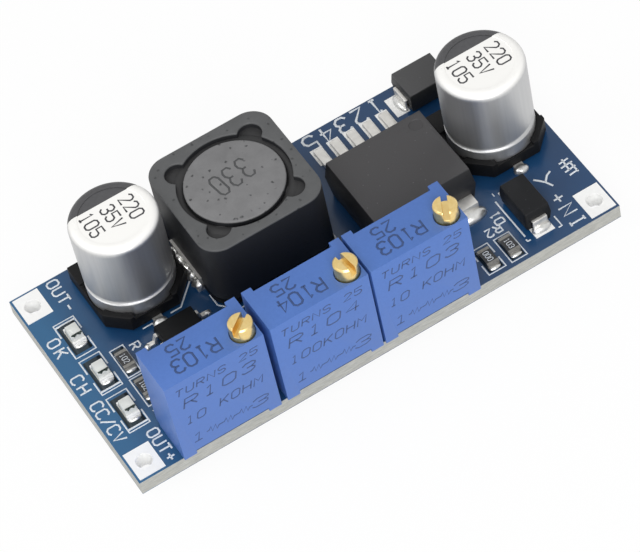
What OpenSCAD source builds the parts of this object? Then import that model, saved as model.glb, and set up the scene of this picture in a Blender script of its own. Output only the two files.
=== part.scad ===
// Step-down converter module: a small board with a switching regulator, a shielded
// inductor, two can capacitors, two rectifiers, three lamps and three multi-turn trimmers.
// Millimetres. X runs along the board towards the input end, Y towards the back edge, Z up.
// The origin is the centre of the board's underside.

/* [Board] */
// Thickness of the glass-fibre board
board_t = 1.6; // [1:0.1:2]
// Bare board between the output end and the output capacitor
edge_left = 5.55; // [5:0.05:7]
// Bare board between the input capacitor and the input end
edge_right = 0.485; // [0.3:0.005:2]
// Bare board between the inductor and the back edge
edge_back = 0.62; // [0.3:0.02:2]

/* [Wire pads] */
// Size of a corner pad along the board
wire_pad_l = 2.5; // [2:0.1:3]
// Size of a corner pad across the board
wire_pad_w = 3.1; // [2.4:0.1:3.6]
// Distance of a corner pad from both board edges
wire_pad_inset = 0.2; // [0.1:0.05:0.5]
// Diameter of the plated hole that takes a wire
wire_hole_d = 1.5; // [1:0.1:1.8]
// Thickness of a tinned pad
pad_t = 0.1; // [0.05:0.01:0.15]

/* [Trimmers] */
// Length of a trimmer body
trimmer_l = 9.53; // [9:0.01:10.5]
// Depth of a trimmer body, end ribs included
trimmer_d = 4.83; // [4.6:0.01:5.2]
// Height of a trimmer body above the board
trimmer_h = 10.03; // [9.6:0.01:11]
// Distance of the first trimmer from the output end
trimmer_inset = 4.3; // [4:0.1:5]
// Gap between the first and second trimmer
trimmer_gap_1 = 0.64; // [0.2:0.02:1]
// Gap between the second and third trimmer
trimmer_gap_2 = 0.27; // [0.2:0.01:1]
// How far the trimmers stand out over the front edge of the board
trimmer_overhang = 0.3; // [0:0.05:0.5]
// Wall of the trimmer housing
trimmer_wall = 0.6; // [0.5:0.05:0.7]
// Roof of the trimmer housing, which guides the screw
trimmer_roof = 1.5; // [1.4:0.05:1.7]
// Height of the feet under the housing
trimmer_foot_h = 0.45; // [0.3:0.05:0.6]
// Length of a foot along the housing
trimmer_foot_l = 1.2; // [0.8:0.1:1.6]
// Width of the ribs at the open back of the housing
trimmer_rib_w = 0.95; // [0.8:0.05:1.2]
// How far the ribs stand out behind the roof
trimmer_rib_d = 0.5; // [0.3:0.05:0.6]

/* [Adjusting screws] */
// Distance of the screw's axis from the front and from the end of the housing
screw_inset = 1.27; // [1.22:0.01:1.35]
// Diameter of the screw head
screw_head_d = 2.15; // [2:0.01:2.2]
// Height of the screw head above the housing
screw_head_h = 1.45; // [1:0.05:2]
// Width of the driver slot
slot_w = 0.55; // [0.4:0.05:0.7]
// Depth of the driver slot
slot_depth = 0.9; // [0.6:0.05:1.1]
// Diameter of the shank that turns in the roof
screw_shank_d = 1.9; // [1.85:0.01:1.96]
// Directions of the three driver slots, in degrees from the X axis
slot_angles = [38, 97, 65];

/* [Worm drive] */
// Teeth on the rotor wheel, which is the number of screw turns in one rotor turn
rotor_teeth = 30; // [28:1:32]
// Pitch of the worm thread
worm_pitch = 0.65; // [0.64:0.01:0.66]
// Mean radius of the worm thread
worm_r = 0.7; // [0.66:0.01:0.72]
// Half the depth of the worm thread
worm_throw = 0.17; // [0.14:0.01:0.18]
// Thickness of the rotor wheel
rotor_t = 0.8; // [0.6:0.05:0.9]
// Radius of the moulded post that the rotor turns on
post_r = 0.55; // [0.45:0.05:0.7]
// Thickness of the ceramic resistance element
element_t = 0.6; // [0.4:0.05:0.7]

/* [Trimmer pins] */
// Diameter of a trimmer pin
pin_d = 0.51; // [0.45:0.01:0.6]
// Distance between the pins
pin_pitch = 2.54; // [2.3:0.01:2.6]
// Length of a pin below the board
pin_below = 1; // [0.8:0.1:1.5]
// Diameter of a pin hole in the board
pin_hole_d = 0.9; // [0.8:0.05:1]
// Diameter of a pin pad
pin_pad_d = 1.7; // [1.5:0.05:1.9]

/* [Can capacitors] */
// Diameter of an aluminium can
can_d = 8; // [6.3:0.1:8.2]
// Height of a capacitor above the board
can_h = 10.2; // [7:0.1:12.5]
// Side of the square plastic base
cap_base_l = 8.3; // [8.3:0.05:8.8]
// Chamfer of the two corners on the positive side
cap_chamfer = 1.8; // [1.2:0.1:2]
// Height of the corner posts of the base
cap_post_h = 1.8; // [1.6:0.05:2.8]
// Side of a corner post
cap_post_l = 2.3; // [1.8:0.1:2.8]
// Height of the rim between the posts
cap_rim_h = 1.4; // [1.3:0.05:1.55]
// Height of the floor that the can stands on
cap_floor_h = 1.1; // [0.9:0.1:1.3]
// Length of both capacitor leads, tip to tip
cap_lead_l = 9.4; // [9:0.1:9.8]
// Width of a capacitor lead
cap_lead_w = 0.9; // [0.6:0.1:1.2]
// Gap between the output capacitor and the inductor
cap_coil_gap = 0.74; // [0.6:0.02:2]

/* [Inductor] */
// Side of the square ferrite shield
coil_l = 12.1; // [11:0.1:13]
// Height of the inductor above the board
coil_h = 7.9; // [6.5:0.1:9]
// Corner radius of the shield
coil_corner_r = 2.1; // [1.5:0.1:2.5]
// Thinnest wall of the shield, in the middle of a side
coil_wall = 0.95; // [0.7:0.05:1.2]
// Radius of the four openings in the corners of the shield
coil_lobe_r = 1.1; // [0.8:0.05:1.3]
// Gap between the shield and the drum core
coil_ring_gap = 0.6; // [0.4:0.05:0.9]
// Depth of the winding room between the drum core's flanges
winding_room = 2.2; // [1.6:0.1:2.6]
// Thickness of the drum core's flanges
drum_flange_t = 1.3; // [1:0.1:1.6]
// Diameter of the winding wire, insulation included
wire_d = 0.7; // [0.6:0.05:0.8]
// Width of a solder terminal
coil_terminal_w = 5.3; // [4:0.1:6]
// How far a terminal reaches under the base
coil_terminal_under = 2.4; // [1.6:0.1:3]
// How far a terminal stands out beyond the shield
coil_terminal_foot = 0.6; // [0.4:0.05:0.7]
// Height of a terminal's upright end above the board
coil_terminal_h = 1.6; // [1.2:0.1:2.4]
// Thickness of a terminal
coil_terminal_t = 0.25; // [0.15:0.05:0.3]
// Gap between the inductor and the regulator
coil_reg_gap = 1.93; // [1.7:0.02:3]
// Gap between the trimmers and the inductor
trimmer_coil_gap = 6.35; // [6.3:0.05:8]

/* [Regulator] */
// Width of the regulator body
reg_l = 10.16; // [9.8:0.02:10.6]
// Length of the regulator body
reg_w = 8.7; // [8.2:0.1:9]
// Height of the regulator above the board
reg_h = 4.5; // [4.3:0.05:4.8]
// Thickness of the metal tab
tab_t = 1.27; // [1:0.01:1.4]
// How far the tab stands out in front of the body
tab_reach = 1; // [0.8:0.05:1.2]
// How much narrower the tab is than the body, on each side
tab_inset = 0.55; // [0.3:0.05:1]
// Distance between the regulator leads
reg_pitch = 1.7; // [1.6:0.01:1.75]
// Width of a regulator lead
reg_lead_w = 0.85; // [0.7:0.05:1]
// How far the regulator leads reach out behind the body
reg_reach = 4.7; // [4:0.1:5.2]
// Length of the foot of a regulator lead
reg_foot = 2; // [1.4:0.1:2.4]
// Height at which the regulator leads leave the body
reg_exit_h = 2.5; // [2.2:0.1:2.8]
// Diameter of the moulded mark beside the first lead
reg_mark_d = 1.3; // [1:0.1:1.6]
// Bare board behind the tips of the regulator leads
reg_back_gap = 2.35; // [2:0.05:4]
// Gap between the regulator and the input capacitor
reg_cap_gap = 0.635; // [0.6:0.005:2]

/* [Rectifiers] */
// Length of a rectifier body
diode_l = 4.3; // [4:0.1:4.5]
// Width of the catch rectifier
catch_w = 3.5; // [3.2:0.1:3.8]
// Width of the input rectifier
input_w = 2.6; // [2.4:0.1:2.8]
// Width of the leads of the catch rectifier
catch_lead_w = 2; // [1.6:0.1:2.4]
// Width of the leads of the input rectifier
input_lead_w = 1.45; // [1.2:0.05:1.8]
// Height of a rectifier above the board
diode_h = 2.35; // [2:0.05:2.5]
// Bare board behind the catch rectifier
catch_back_gap = 0.45; // [0.3:0.05:1]
// Gap between the input capacitor and both rectifiers
cap_diode_gap = 2.3; // [1.5:0.05:2.6]

/* [Amplifier] */
// Width of the amplifier body, across its leads
amp_l = 3.9; // [3.7:0.05:4.1]
// Length of the amplifier body, along its leads
amp_w = 4.9; // [4.7:0.05:5.1]
// Height of the amplifier above the board
amp_h = 1.6; // [1.4:0.05:1.8]
// Distance between the amplifier leads
amp_pitch = 1.27; // [1.2:0.01:1.3]
// Distance of the amplifier's centre from the output end
amp_inset = 10.5; // [10:0.1:11]
// Gap between the trimmers and the amplifier
amp_gap = 3; // [2.6:0.05:3.2]

/* [Lamps and chip resistors] */
// Length of a lamp
lamp_l = 2; // [1.8:0.05:2.2]
// Width of a lamp
lamp_w = 1.25; // [1.1:0.05:1.4]
// Height of a lamp above the board
lamp_h = 1.1; // [0.9:0.05:1.3]
// Distance between the lamps
lamp_pitch = 4.8; // [4.4:0.05:4.9]
// Distance of the lamps from the output end
lamp_inset = 2.95; // [2.6:0.05:3.2]
// Distance of the middle lamp from the front edge
lamp_mid = 11.9; // [11.4:0.05:12.4]
// Length of a chip resistor
chip_l = 1.9; // [1.6:0.05:2.1]
// Width of a chip resistor
chip_w = 1.1; // [0.8:0.05:1.2]
// Thickness of a chip resistor
chip_t = 0.5; // [0.4:0.05:0.6]
// Length of the plated end of a chip resistor
chip_end = 0.3; // [0.2:0.05:0.4]
// Distance of the left chip resistors from the output end
chip_inset = 5.2; // [5:0.05:5.4]
// Middle of the first chip resistor, from the front edge
chip_1_mid = 11.7; // [11.5:0.05:12]
// Middle of the second chip resistor, from the front edge
chip_2_mid = 8.2; // [7.8:0.05:8.5]
// Middle of the third chip resistor, from the front edge
chip_3_mid = 1.95; // [1.5:0.05:2.5]
// Middle of the fourth chip resistor, from the front edge
chip_4_mid = 2; // [1.5:0.05:2.5]
// Gap between the third trimmer and the chip resistor beside it
trimmer_chip_gap = 1.65; // [1.2:0.05:2]
// Gap between the two chip resistors there
chip_gap = 1.1; // [0.9:0.05:1.4]
// Gap between them and the input rectifier
chip_diode_gap = 1.415; // [1.2:0.005:1.8]

/* [Hidden] */
$fn = 48;
eps = 0.01;

// Board outline, from the row of large parts and from the trimmers in front of it
board_l = edge_left + cap_base_l + cap_coil_gap + coil_l + coil_reg_gap + reg_l
    + reg_cap_gap + cap_base_l + edge_right;
board_w = trimmer_d - trimmer_overhang + trimmer_coil_gap + coil_l + edge_back;
left_x = -board_l / 2;
right_x = board_l / 2;
front_y = -board_w / 2;
back_y = board_w / 2;
top_z = board_t;

// Places of the large parts
out_cap_x = left_x + edge_left + cap_base_l / 2;
coil_x = out_cap_x + cap_base_l / 2 + cap_coil_gap + coil_l / 2;
reg_x = coil_x + coil_l / 2 + coil_reg_gap + reg_l / 2;
in_cap_x = reg_x + reg_l / 2 + reg_cap_gap + cap_base_l / 2;
coil_y = back_y - edge_back - coil_l / 2;
out_cap_y = coil_y + 1.3;
reg_y = back_y - reg_back_gap - reg_reach - reg_w / 2;
catch_x = in_cap_x - 2.1;
catch_y = back_y - catch_back_gap - catch_w / 2;
in_cap_y = catch_y - catch_w / 2 - cap_diode_gap - cap_base_l / 2;

// Pads
pad_seat = pad_t / 2;
wire_x = right_x - wire_pad_inset - wire_pad_l / 2;
wire_y = back_y - wire_pad_inset - wire_pad_w / 2;
wire_places = [[-wire_x, -wire_y], [wire_x, -wire_y], [-wire_x, wire_y], [wire_x, wire_y]];

// Trimmers: left ends and front face
trimmer_1_x = left_x + trimmer_inset;
trimmer_2_x = trimmer_1_x + trimmer_l + trimmer_gap_1;
trimmer_3_x = trimmer_2_x + trimmer_l + trimmer_gap_2;
trimmer_xs = [trimmer_1_x, trimmer_2_x, trimmer_3_x];
trimmer_y = front_y - trimmer_overhang;
trimmer_floor_z = trimmer_foot_h + trimmer_wall;
trimmer_ceiling_z = trimmer_h - trimmer_roof;
potting_back_y = trimmer_d - trimmer_rib_d;
pin_r = pin_d / 2;
pin_top_z = trimmer_floor_z + 1.2;
element_y = trimmer_d / 2 + pin_r;

// Adjusting screw
run_gap = 0.05;
screw_x = trimmer_l - screw_inset;
shank_r = screw_shank_d / 2;
roof_bore_r = shank_r + run_gap;
counterbore_r = screw_head_d / 2 + 0.1;
counterbore_depth = 0.35;
seal_r = 0.16;
seal_z = trimmer_h - 0.9;
pivot_r = 0.5;
pivot_depth = 0.25;

// Worm and rotor: the wheel's pitch circle rolls on the worm's mean radius
rotor_pitch_r = rotor_teeth * worm_pitch / (2 * PI);
rotor_x = screw_x - worm_r - rotor_pitch_r;
rotor_z = (trimmer_floor_z + trimmer_ceiling_z) / 2;
mesh_gap = 0.06;
rotor_tip_r = rotor_pitch_r + worm_throw - mesh_gap;
rotor_root_r = rotor_pitch_r - worm_throw - mesh_gap;
worm_turns = 6;
worm_l = worm_turns * worm_pitch;
rotor_back_y = screw_inset + rotor_t / 2 + 0.35;
wiper_t = 0.1;
wiper_reach = 2.3;

// Inductor
coil_base_t = 0.6;
coil_lift = 0.3;
coil_z = top_z + coil_lift;
shield_z = coil_z + coil_base_t;
coil_top_z = top_z + coil_h;
drum_h = coil_top_z - 0.1 - shield_z;
coil_bore_r = coil_l / 2 - coil_wall;
drum_r = coil_bore_r - coil_ring_gap;
drum_post_r = drum_r - winding_room;
winding_inset = 0.35;

// Regulator
reg_lift = 0.1;
reg_draft = 0.28;
tab_cover = 2.2;
mark_x = 2 * reg_pitch + 0.3;

// Leads, lamps and solder
gull_t = 0.45;
strap_t = 0.2;
cap_lead_t = 0.3;
cap_lead_gap = 1.2;
cap_lift = 0.15;
amp_reach = 1.05;
lamp_end = 0.25;
solder_l = 0.5;
solder_edge = 0.1;
lamp_x = left_x + lamp_inset;
lamp_ys = [for (i = [-1 : 1]) front_y + lamp_mid + i * lamp_pitch];
amp_x = left_x + amp_inset;
amp_y = trimmer_y + trimmer_d + amp_gap + amp_w / 2;
input_y = in_cap_y - cap_base_l / 2 - cap_diode_gap - diode_l / 2 - strap_t;
chip_3_x = trimmer_3_x + trimmer_l + trimmer_chip_gap + chip_w / 2;
chip_4_x = chip_3_x + chip_w + chip_gap;
chip_places = [
    [left_x + chip_inset, front_y + chip_1_mid],
    [left_x + chip_inset, front_y + chip_2_mid],
    [chip_3_x, front_y + chip_3_mid],
    [chip_4_x, front_y + chip_4_mid]
];
input_x = chip_4_x + chip_w / 2 + chip_diode_gap + input_w / 2;

// ---- Shared shapes ----

// A flat plate centred on X and Y
module plate(l, w, t) {
    translate([-l / 2, -w / 2, 0]) cube([l, w, t]);
}

// A rectangle with round corners
module rounded_rect(l, w, r) {
    square([l - 2 * r, w], center = true);
    square([l, w - 2 * r], center = true);
    for (sx = [-1, 1], sy = [-1, 1])
        translate([sx * (l / 2 - r), sy * (w / 2 - r)]) circle(r);
}

// Side view of a moulded package: both halves lean in from the parting line
module drafted_side(l, h, waist, draft) {
    polygon([
        [-l / 2 + draft, 0], [-l / 2, waist], [-l / 2 + draft, h],
        [l / 2 - draft, h], [l / 2, waist], [l / 2 - draft, 0]
    ]);
}

// A moulded package with draft on all four sides
module drafted_body(l, w, h, waist, draft) {
    intersection() {
        rotate([90, 0, 0])
            linear_extrude(w + 1, center = true) drafted_side(l, h, waist, draft);
        rotate([90, 0, 90])
            linear_extrude(l + 1, center = true) drafted_side(w, h, waist, draft);
    }
}

// A gull-wing lead that leaves a package along +Y at height exit and stands on its foot
module gull_lead(w, t, reach, foot, exit, inside) {
    shoulder = (reach - foot) * 0.45;
    knee = reach - foot;
    rotate([90, 0, 90]) linear_extrude(w, center = true) polygon([
        [-inside, exit], [shoulder, exit], [knee, t], [reach, t], [reach, 0],
        [knee - t * 0.6, 0], [shoulder - t * 0.4, exit - t], [-inside, exit - t]
    ]);
}

// A strap lead that leaves a package end along +X and folds down and under it
module strap_lead(w, t, exit, under) {
    rotate([90, 0, 0]) linear_extrude(w, center = true) polygon([
        [-0.4, exit], [t + 0.05, exit], [t + 0.05, 0], [-under, 0], [-under, t],
        [0.05, t], [0.05, exit - t], [-0.4, exit - t]
    ]);
}

// A low mound of solder with sloping sides
module solder_mound(l, w, h) {
    drafted_body(l, w, h, 0.05, min(h, l / 3, w / 3));
}

// ---- Board ----

module pin_places() {
    for (x = trimmer_xs, i = [-1 : 1])
        translate([x + trimmer_l / 2 + i * pin_pitch, trimmer_y + trimmer_d / 2, 0])
            children();
}

module board() {
    color("darkblue") difference() {
        plate(board_l, board_w, board_t);
        for (p = wire_places) translate([p[0], p[1], 0]) {
            translate([0, 0, -eps]) cylinder(d = wire_hole_d, h = board_t + 2 * eps);
            translate([0, 0, -eps]) plate(wire_pad_l, wire_pad_w, pad_t + eps);
            translate([0, 0, board_t - pad_seat])
                plate(wire_pad_l, wire_pad_w, pad_t);
        }
        pin_places() {
            translate([0, 0, -eps]) cylinder(d = pin_hole_d, h = board_t + 2 * eps);
            translate([0, 0, -eps]) cylinder(d = pin_pad_d, h = pad_t + eps);
        }
    }
}

module wire_pads() {
    color("silver") for (p = wire_places, z = [0, board_t - pad_seat])
        translate([p[0], p[1], z]) difference() {
            plate(wire_pad_l, wire_pad_w, pad_t);
            translate([0, 0, -eps]) cylinder(d = wire_hole_d, h = pad_t + 2 * eps);
        }
}

module pin_pads() {
    color("silver") pin_places() difference() {
        cylinder(d = pin_pad_d, h = pad_t);
        translate([0, 0, -eps]) cylinder(d = pin_hole_d, h = pad_t + 2 * eps);
    }
}

module pin_solder() {
    color("lightgray") pin_places() difference() {
        union() {
            translate([0, 0, -0.75])
                cylinder(r1 = pin_r + 0.08, r2 = pin_pad_d / 2 - 0.08, h = 0.75);
            cylinder(d = pin_hole_d, h = board_t);
        }
        translate([0, 0, -2]) cylinder(d = pin_d, h = board_t + 4);
    }
}

// ---- Can capacitors ----

// Outline of the base seen from above, with its two chamfered corners in front
module cap_outline() {
    s = cap_base_l / 2;
    c = cap_chamfer;
    polygon([[-s + c, -s], [s - c, -s], [s, -s + c], [s, s], [-s, s], [-s, -s + c]]);
}

module cap_base() {
    notch_l = cap_base_l - 2 * cap_post_l;
    color("black") difference() {
        translate([0, 0, cap_lift]) linear_extrude(cap_post_h - cap_lift) cap_outline();
        translate([0, 0, cap_floor_h]) cylinder(r = can_d / 2 + 0.03, h = cap_post_h);
        for (a = [0, 90]) translate([0, 0, cap_rim_h]) rotate([0, 0, a])
            plate(notch_l, cap_base_l + 1, cap_post_h);
        cap_leads();
    }
}

module cap_leads() {
    color("silver") for (s = [0, 180]) rotate([0, 0, s])
        translate([-cap_lead_w / 2, -cap_lead_l / 2, 0])
            cube([cap_lead_w, cap_lead_l / 2 - cap_lead_gap, cap_lead_t]);
}

// The drawn can: rolled rim, bead above it, round shoulder and a shallow flat top
module cap_can() {
    r = can_d / 2;
    shoulder_r = 0.7;
    bead_z = cap_floor_h + 1.9;
    bead_r = 0.35;
    color("silver") rotate_extrude() difference() {
        union() {
            translate([0, cap_floor_h]) square([r, can_h - cap_floor_h - shoulder_r]);
            translate([0, cap_floor_h]) square([r - shoulder_r, can_h - cap_floor_h]);
            translate([r - shoulder_r, can_h - shoulder_r]) circle(shoulder_r);
        }
        translate([r + 0.12, bead_z]) circle(bead_r);
        translate([0, can_h - 0.06]) square([r - shoulder_r - 0.25, 1]);
        translate([-r, 0]) square([r, can_h + 1]);
    }
}

module at_output_cap() { translate([out_cap_x, out_cap_y, top_z]) children(); }
module at_input_cap() { translate([in_cap_x, in_cap_y, top_z]) children(); }
module output_capacitor_can() { at_output_cap() cap_can(); }
module output_capacitor_base() { at_output_cap() cap_base(); }
module output_capacitor_leads() { at_output_cap() cap_leads(); }
module input_capacitor_can() { at_input_cap() cap_can(); }
module input_capacitor_base() { at_input_cap() cap_base(); }
module input_capacitor_leads() { at_input_cap() cap_leads(); }

// ---- Inductor ----

// Square ferrite ring; four round lobes open its bore towards the corners
module inductor_shield() {
    color("dimgray") translate([coil_x, coil_y, shield_z])
        linear_extrude(coil_top_z - shield_z) difference() {
            rounded_rect(coil_l, coil_l, coil_corner_r);
            circle(coil_bore_r);
            for (a = [45 : 90 : 315])
                rotate(a) translate([coil_bore_r + 0.1, 0]) circle(coil_lobe_r);
        }
}

module inductor_drum() {
    color("dimgray") translate([coil_x, coil_y, shield_z]) {
        cylinder(r = drum_r, h = drum_flange_t);
        cylinder(r = drum_post_r, h = drum_h);
        translate([0, 0, drum_h - drum_flange_t])
            cylinder(r = drum_r, h = drum_flange_t);
    }
}

// Layered turns of enamelled wire between the flanges, seen as a ribbed sleeve
module inductor_winding() {
    room = drum_h - 2 * drum_flange_t;
    turns = floor(room / wire_d);
    sleeve_r = drum_r - winding_inset;
    color("chocolate") translate([coil_x, coil_y, shield_z + drum_flange_t])
        rotate_extrude() difference() {
            union() {
                translate([drum_post_r, 0])
                    square([sleeve_r - wire_d / 2 - drum_post_r, room]);
                for (i = [0 : turns - 1])
                    translate([sleeve_r - wire_d / 2, (i + 0.5) * room / turns])
                        circle(d = wire_d);
            }
            translate([0, -1]) square([drum_post_r, room + 2]);
        }
}

module inductor_base() {
    color("black") difference() {
        translate([coil_x, coil_y, coil_z]) linear_extrude(coil_base_t)
            rounded_rect(coil_l, coil_l, coil_corner_r);
        inductor_terminals();
    }
}

// Tinned plates under both ends, turned up against the shield
module inductor_terminals() {
    t = coil_terminal_t;
    side = coil_l / 2;
    under = side - coil_terminal_under;
    foot = side + coil_terminal_foot;
    color("silver") for (s = [0, 180])
        translate([coil_x, coil_y, top_z]) rotate([0, 0, s])
            rotate([90, 0, 0]) linear_extrude(coil_terminal_w, center = true)
                polygon([
                    [under, 0], [foot, 0], [foot, t], [side + t, t],
                    [side + t, coil_terminal_h], [side, coil_terminal_h],
                    [side, coil_lift + 0.05], [under, coil_lift + 0.05]
                ]);
}

// ---- Regulator ----

module at_regulator() { translate([reg_x, reg_y, top_z]) children(); }

module regulator_body() {
    mark_y = reg_w / 2 - reg_draft - reg_mark_d / 2 - 0.6;
    color([0.13, 0.13, 0.14]) difference() {
        at_regulator() translate([0, 0, reg_lift])
            drafted_body(reg_l, reg_w, reg_h - reg_lift, reg_exit_h - reg_lift, reg_draft);
        at_regulator() translate([mark_x, mark_y, reg_h - 0.08])
            cylinder(d = reg_mark_d, h = 1);
        regulator_tab();
        regulator_leads();
    }
}

module regulator_tab() {
    color("silver") at_regulator() {
        translate([-reg_l / 2 + tab_inset, -reg_w / 2 - tab_reach, 0])
            cube([reg_l - 2 * tab_inset, reg_w - tab_cover + tab_reach, tab_t]);
    }
}

module regulator_leads() {
    color("silver") at_regulator() for (i = [-2 : 2])
        translate([i * reg_pitch, reg_w / 2, 0])
            gull_lead(reg_lead_w, gull_t, reg_reach, reg_foot, reg_exit_h, 0.6);
}

// ---- Rectifiers ----

module rectifier_leads(w) {
    color("silver") for (s = [0, 180]) rotate([0, 0, s])
        translate([diode_l / 2, 0, 0]) strap_lead(w, strap_t, 1.3, 1);
}

module rectifier_body(w, lead_w) {
    color([0.12, 0.12, 0.13]) difference() {
        translate([0, 0, strap_t])
            drafted_body(diode_l, w, diode_h - strap_t, 1.0, 0.12);
        rectifier_leads(lead_w);
    }
}

module at_catch() { translate([catch_x, catch_y, top_z]) children(); }
module at_input() { translate([input_x, input_y, top_z]) rotate([0, 0, 90]) children(); }
module catch_rectifier_body() { at_catch() rectifier_body(catch_w, catch_lead_w); }
module catch_rectifier_leads() { at_catch() rectifier_leads(catch_lead_w); }
module input_rectifier_body() { at_input() rectifier_body(input_w, input_lead_w); }
module input_rectifier_leads() { at_input() rectifier_leads(input_lead_w); }

// ---- Amplifier ----

module amplifier_body() {
    color([0.1, 0.1, 0.11]) difference() {
        translate([amp_x, amp_y, top_z + 0.12])
            drafted_body(amp_l, amp_w, amp_h - 0.12, 0.72, 0.12);
        amplifier_leads();
    }
}

module amplifier_leads() {
    color("silver") translate([amp_x, amp_y, top_z]) for (s = [0, 180], i = [0 : 3])
        rotate([0, 0, s]) translate([amp_l / 2, (i - 1.5) * amp_pitch, 0])
            rotate([0, 0, -90]) gull_lead(0.42, 0.2, amp_reach, 0.6, 0.94, 0.3);
}

// ---- Lamps and chip resistors ----

module at_lamps() {
    for (y = lamp_ys) translate([lamp_x, y, top_z]) rotate([0, 0, 90]) children();
}

module end_caps(l, w, t, wrap) {
    for (s = [0, 180]) rotate([0, 0, s])
        translate([l / 2 - wrap, -w / 2, 0]) cube([wrap, w, t]);
}

module lamp_bases() {
    color("ivory") at_lamps() translate([0, 0, 0.05])
        plate(lamp_l - 2 * lamp_end, lamp_w, 0.3);
}

module lamp_terminals() {
    color("silver") at_lamps() end_caps(lamp_l, lamp_w, 0.45, lamp_end);
}

module lamp_lenses() {
    color([0.93, 0.95, 0.92]) at_lamps() translate([0, 0, 0.35])
        drafted_body(lamp_l - 2 * lamp_end, lamp_w, lamp_h - 0.35, 0.02, 0.1);
}

module at_chips() {
    for (p = chip_places) translate([p[0], p[1], top_z]) rotate([0, 0, 90]) children();
}

module chip_resistor_bodies() {
    color([0.12, 0.12, 0.12]) at_chips() plate(chip_l - 2 * chip_end, chip_w, chip_t);
}

module chip_resistor_ends() {
    color("silver") at_chips() end_caps(chip_l, chip_w, chip_t, chip_end);
}

// ---- Solder at the tips of the leads ----

// A mound beyond a lead tip that lies at distance tip along X, on both sides
module tip_solder(tip, w, h) {
    for (s = [0, 180]) rotate([0, 0, s])
        translate([tip + solder_l / 2, 0, 0])
            solder_mound(solder_l, w + 2 * solder_edge, h);
}

module solder_joints() {
    strap_tip = diode_l / 2 + strap_t + 0.05;
    color("lightgray") {
        at_lamps() tip_solder(lamp_l / 2, lamp_w, 0.35);
        at_chips() tip_solder(chip_l / 2, chip_w, 0.3);
        at_output_cap() rotate([0, 0, 90]) tip_solder(cap_lead_l / 2, cap_lead_w, 0.25);
        at_input_cap() rotate([0, 0, 90]) tip_solder(cap_lead_l / 2, cap_lead_w, 0.25);
        at_catch() tip_solder(strap_tip, catch_lead_w, 0.6);
        at_input() tip_solder(strap_tip, input_lead_w, 0.7);
        at_regulator() {
            for (i = [-2 : 2])
                translate([i * reg_pitch, reg_w / 2 + reg_reach + solder_l / 2, 0])
                    solder_mound(reg_lead_w + 2 * solder_edge, solder_l, 0.35);
            translate([0, -reg_w / 2 - tab_reach - solder_l, 0])
                solder_mound(reg_l - 2 * tab_inset, 2 * solder_l, 0.7);
        }
        translate([amp_x, amp_y, top_z]) for (s = [0, 180], i = [0 : 3])
            rotate([0, 0, s])
                translate([amp_l / 2 + amp_reach + solder_l / 2, (i - 1.5) * amp_pitch, 0])
                    solder_mound(solder_l, 0.42 + solder_edge, 0.2);
        for (s = [0, 180])
            translate([coil_x, coil_y, top_z + coil_terminal_t]) rotate([0, 0, s])
                translate([coil_l / 2 + (coil_terminal_t + coil_terminal_foot) / 2, 0, 0])
                    solder_mound(coil_terminal_foot - coil_terminal_t,
                        coil_terminal_w - 2 * solder_edge, 0.7);
    }
}

// ---- Trimmers ----

module at_trimmer(i) { translate([trimmer_xs[i], trimmer_y, top_z]) children(); }
module on_screw_axis() { translate([screw_x, screw_inset, 0]) children(); }
module on_rotor_axis(y) { translate([rotor_x, y, rotor_z]) rotate([-90, 0, 0]) children(); }

// Moulded box, open at the back, with feet, end ribs, screw guide and rotor post
module trimmer_housing() {
    inner_l = trimmer_l - 2 * trimmer_wall;
    color("royalblue") {
        difference() {
            union() {
                translate([0, 0, trimmer_foot_h])
                    cube([trimmer_l, potting_back_y, trimmer_h - trimmer_foot_h]);
                for (x = [0, trimmer_l - trimmer_rib_w])
                    translate([x, 0, trimmer_foot_h])
                        cube([trimmer_rib_w, trimmer_d, trimmer_h - trimmer_foot_h]);
                for (x = [0, trimmer_l - trimmer_foot_l])
                    translate([x, 0, 0])
                        cube([trimmer_foot_l, potting_back_y, trimmer_foot_h + eps]);
            }
            translate([trimmer_wall, trimmer_wall, trimmer_floor_z])
                cube([inner_l, trimmer_d, trimmer_ceiling_z - trimmer_floor_z]);
            on_screw_axis() {
                translate([0, 0, trimmer_floor_z])
                    cylinder(r = roof_bore_r, h = trimmer_ceiling_z - trimmer_floor_z);
                translate([0, 0, trimmer_floor_z - pivot_depth - run_gap])
                    cylinder(r = pivot_r + run_gap, h = trimmer_wall);
                translate([0, 0, trimmer_ceiling_z - eps])
                    cylinder(r = roof_bore_r, h = trimmer_roof + 1);
                translate([0, 0, trimmer_h - counterbore_depth])
                    cylinder(r = counterbore_r, h = 1);
            }
            for (i = [-1 : 1])
                translate([trimmer_l / 2 + i * pin_pitch, trimmer_d / 2, 0])
                    cylinder(r = pin_r, h = trimmer_floor_z + eps);
        }
        on_rotor_axis(trimmer_wall - eps)
            cylinder(r = post_r, h = rotor_back_y - trimmer_wall - 0.1);
    }
}

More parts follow.
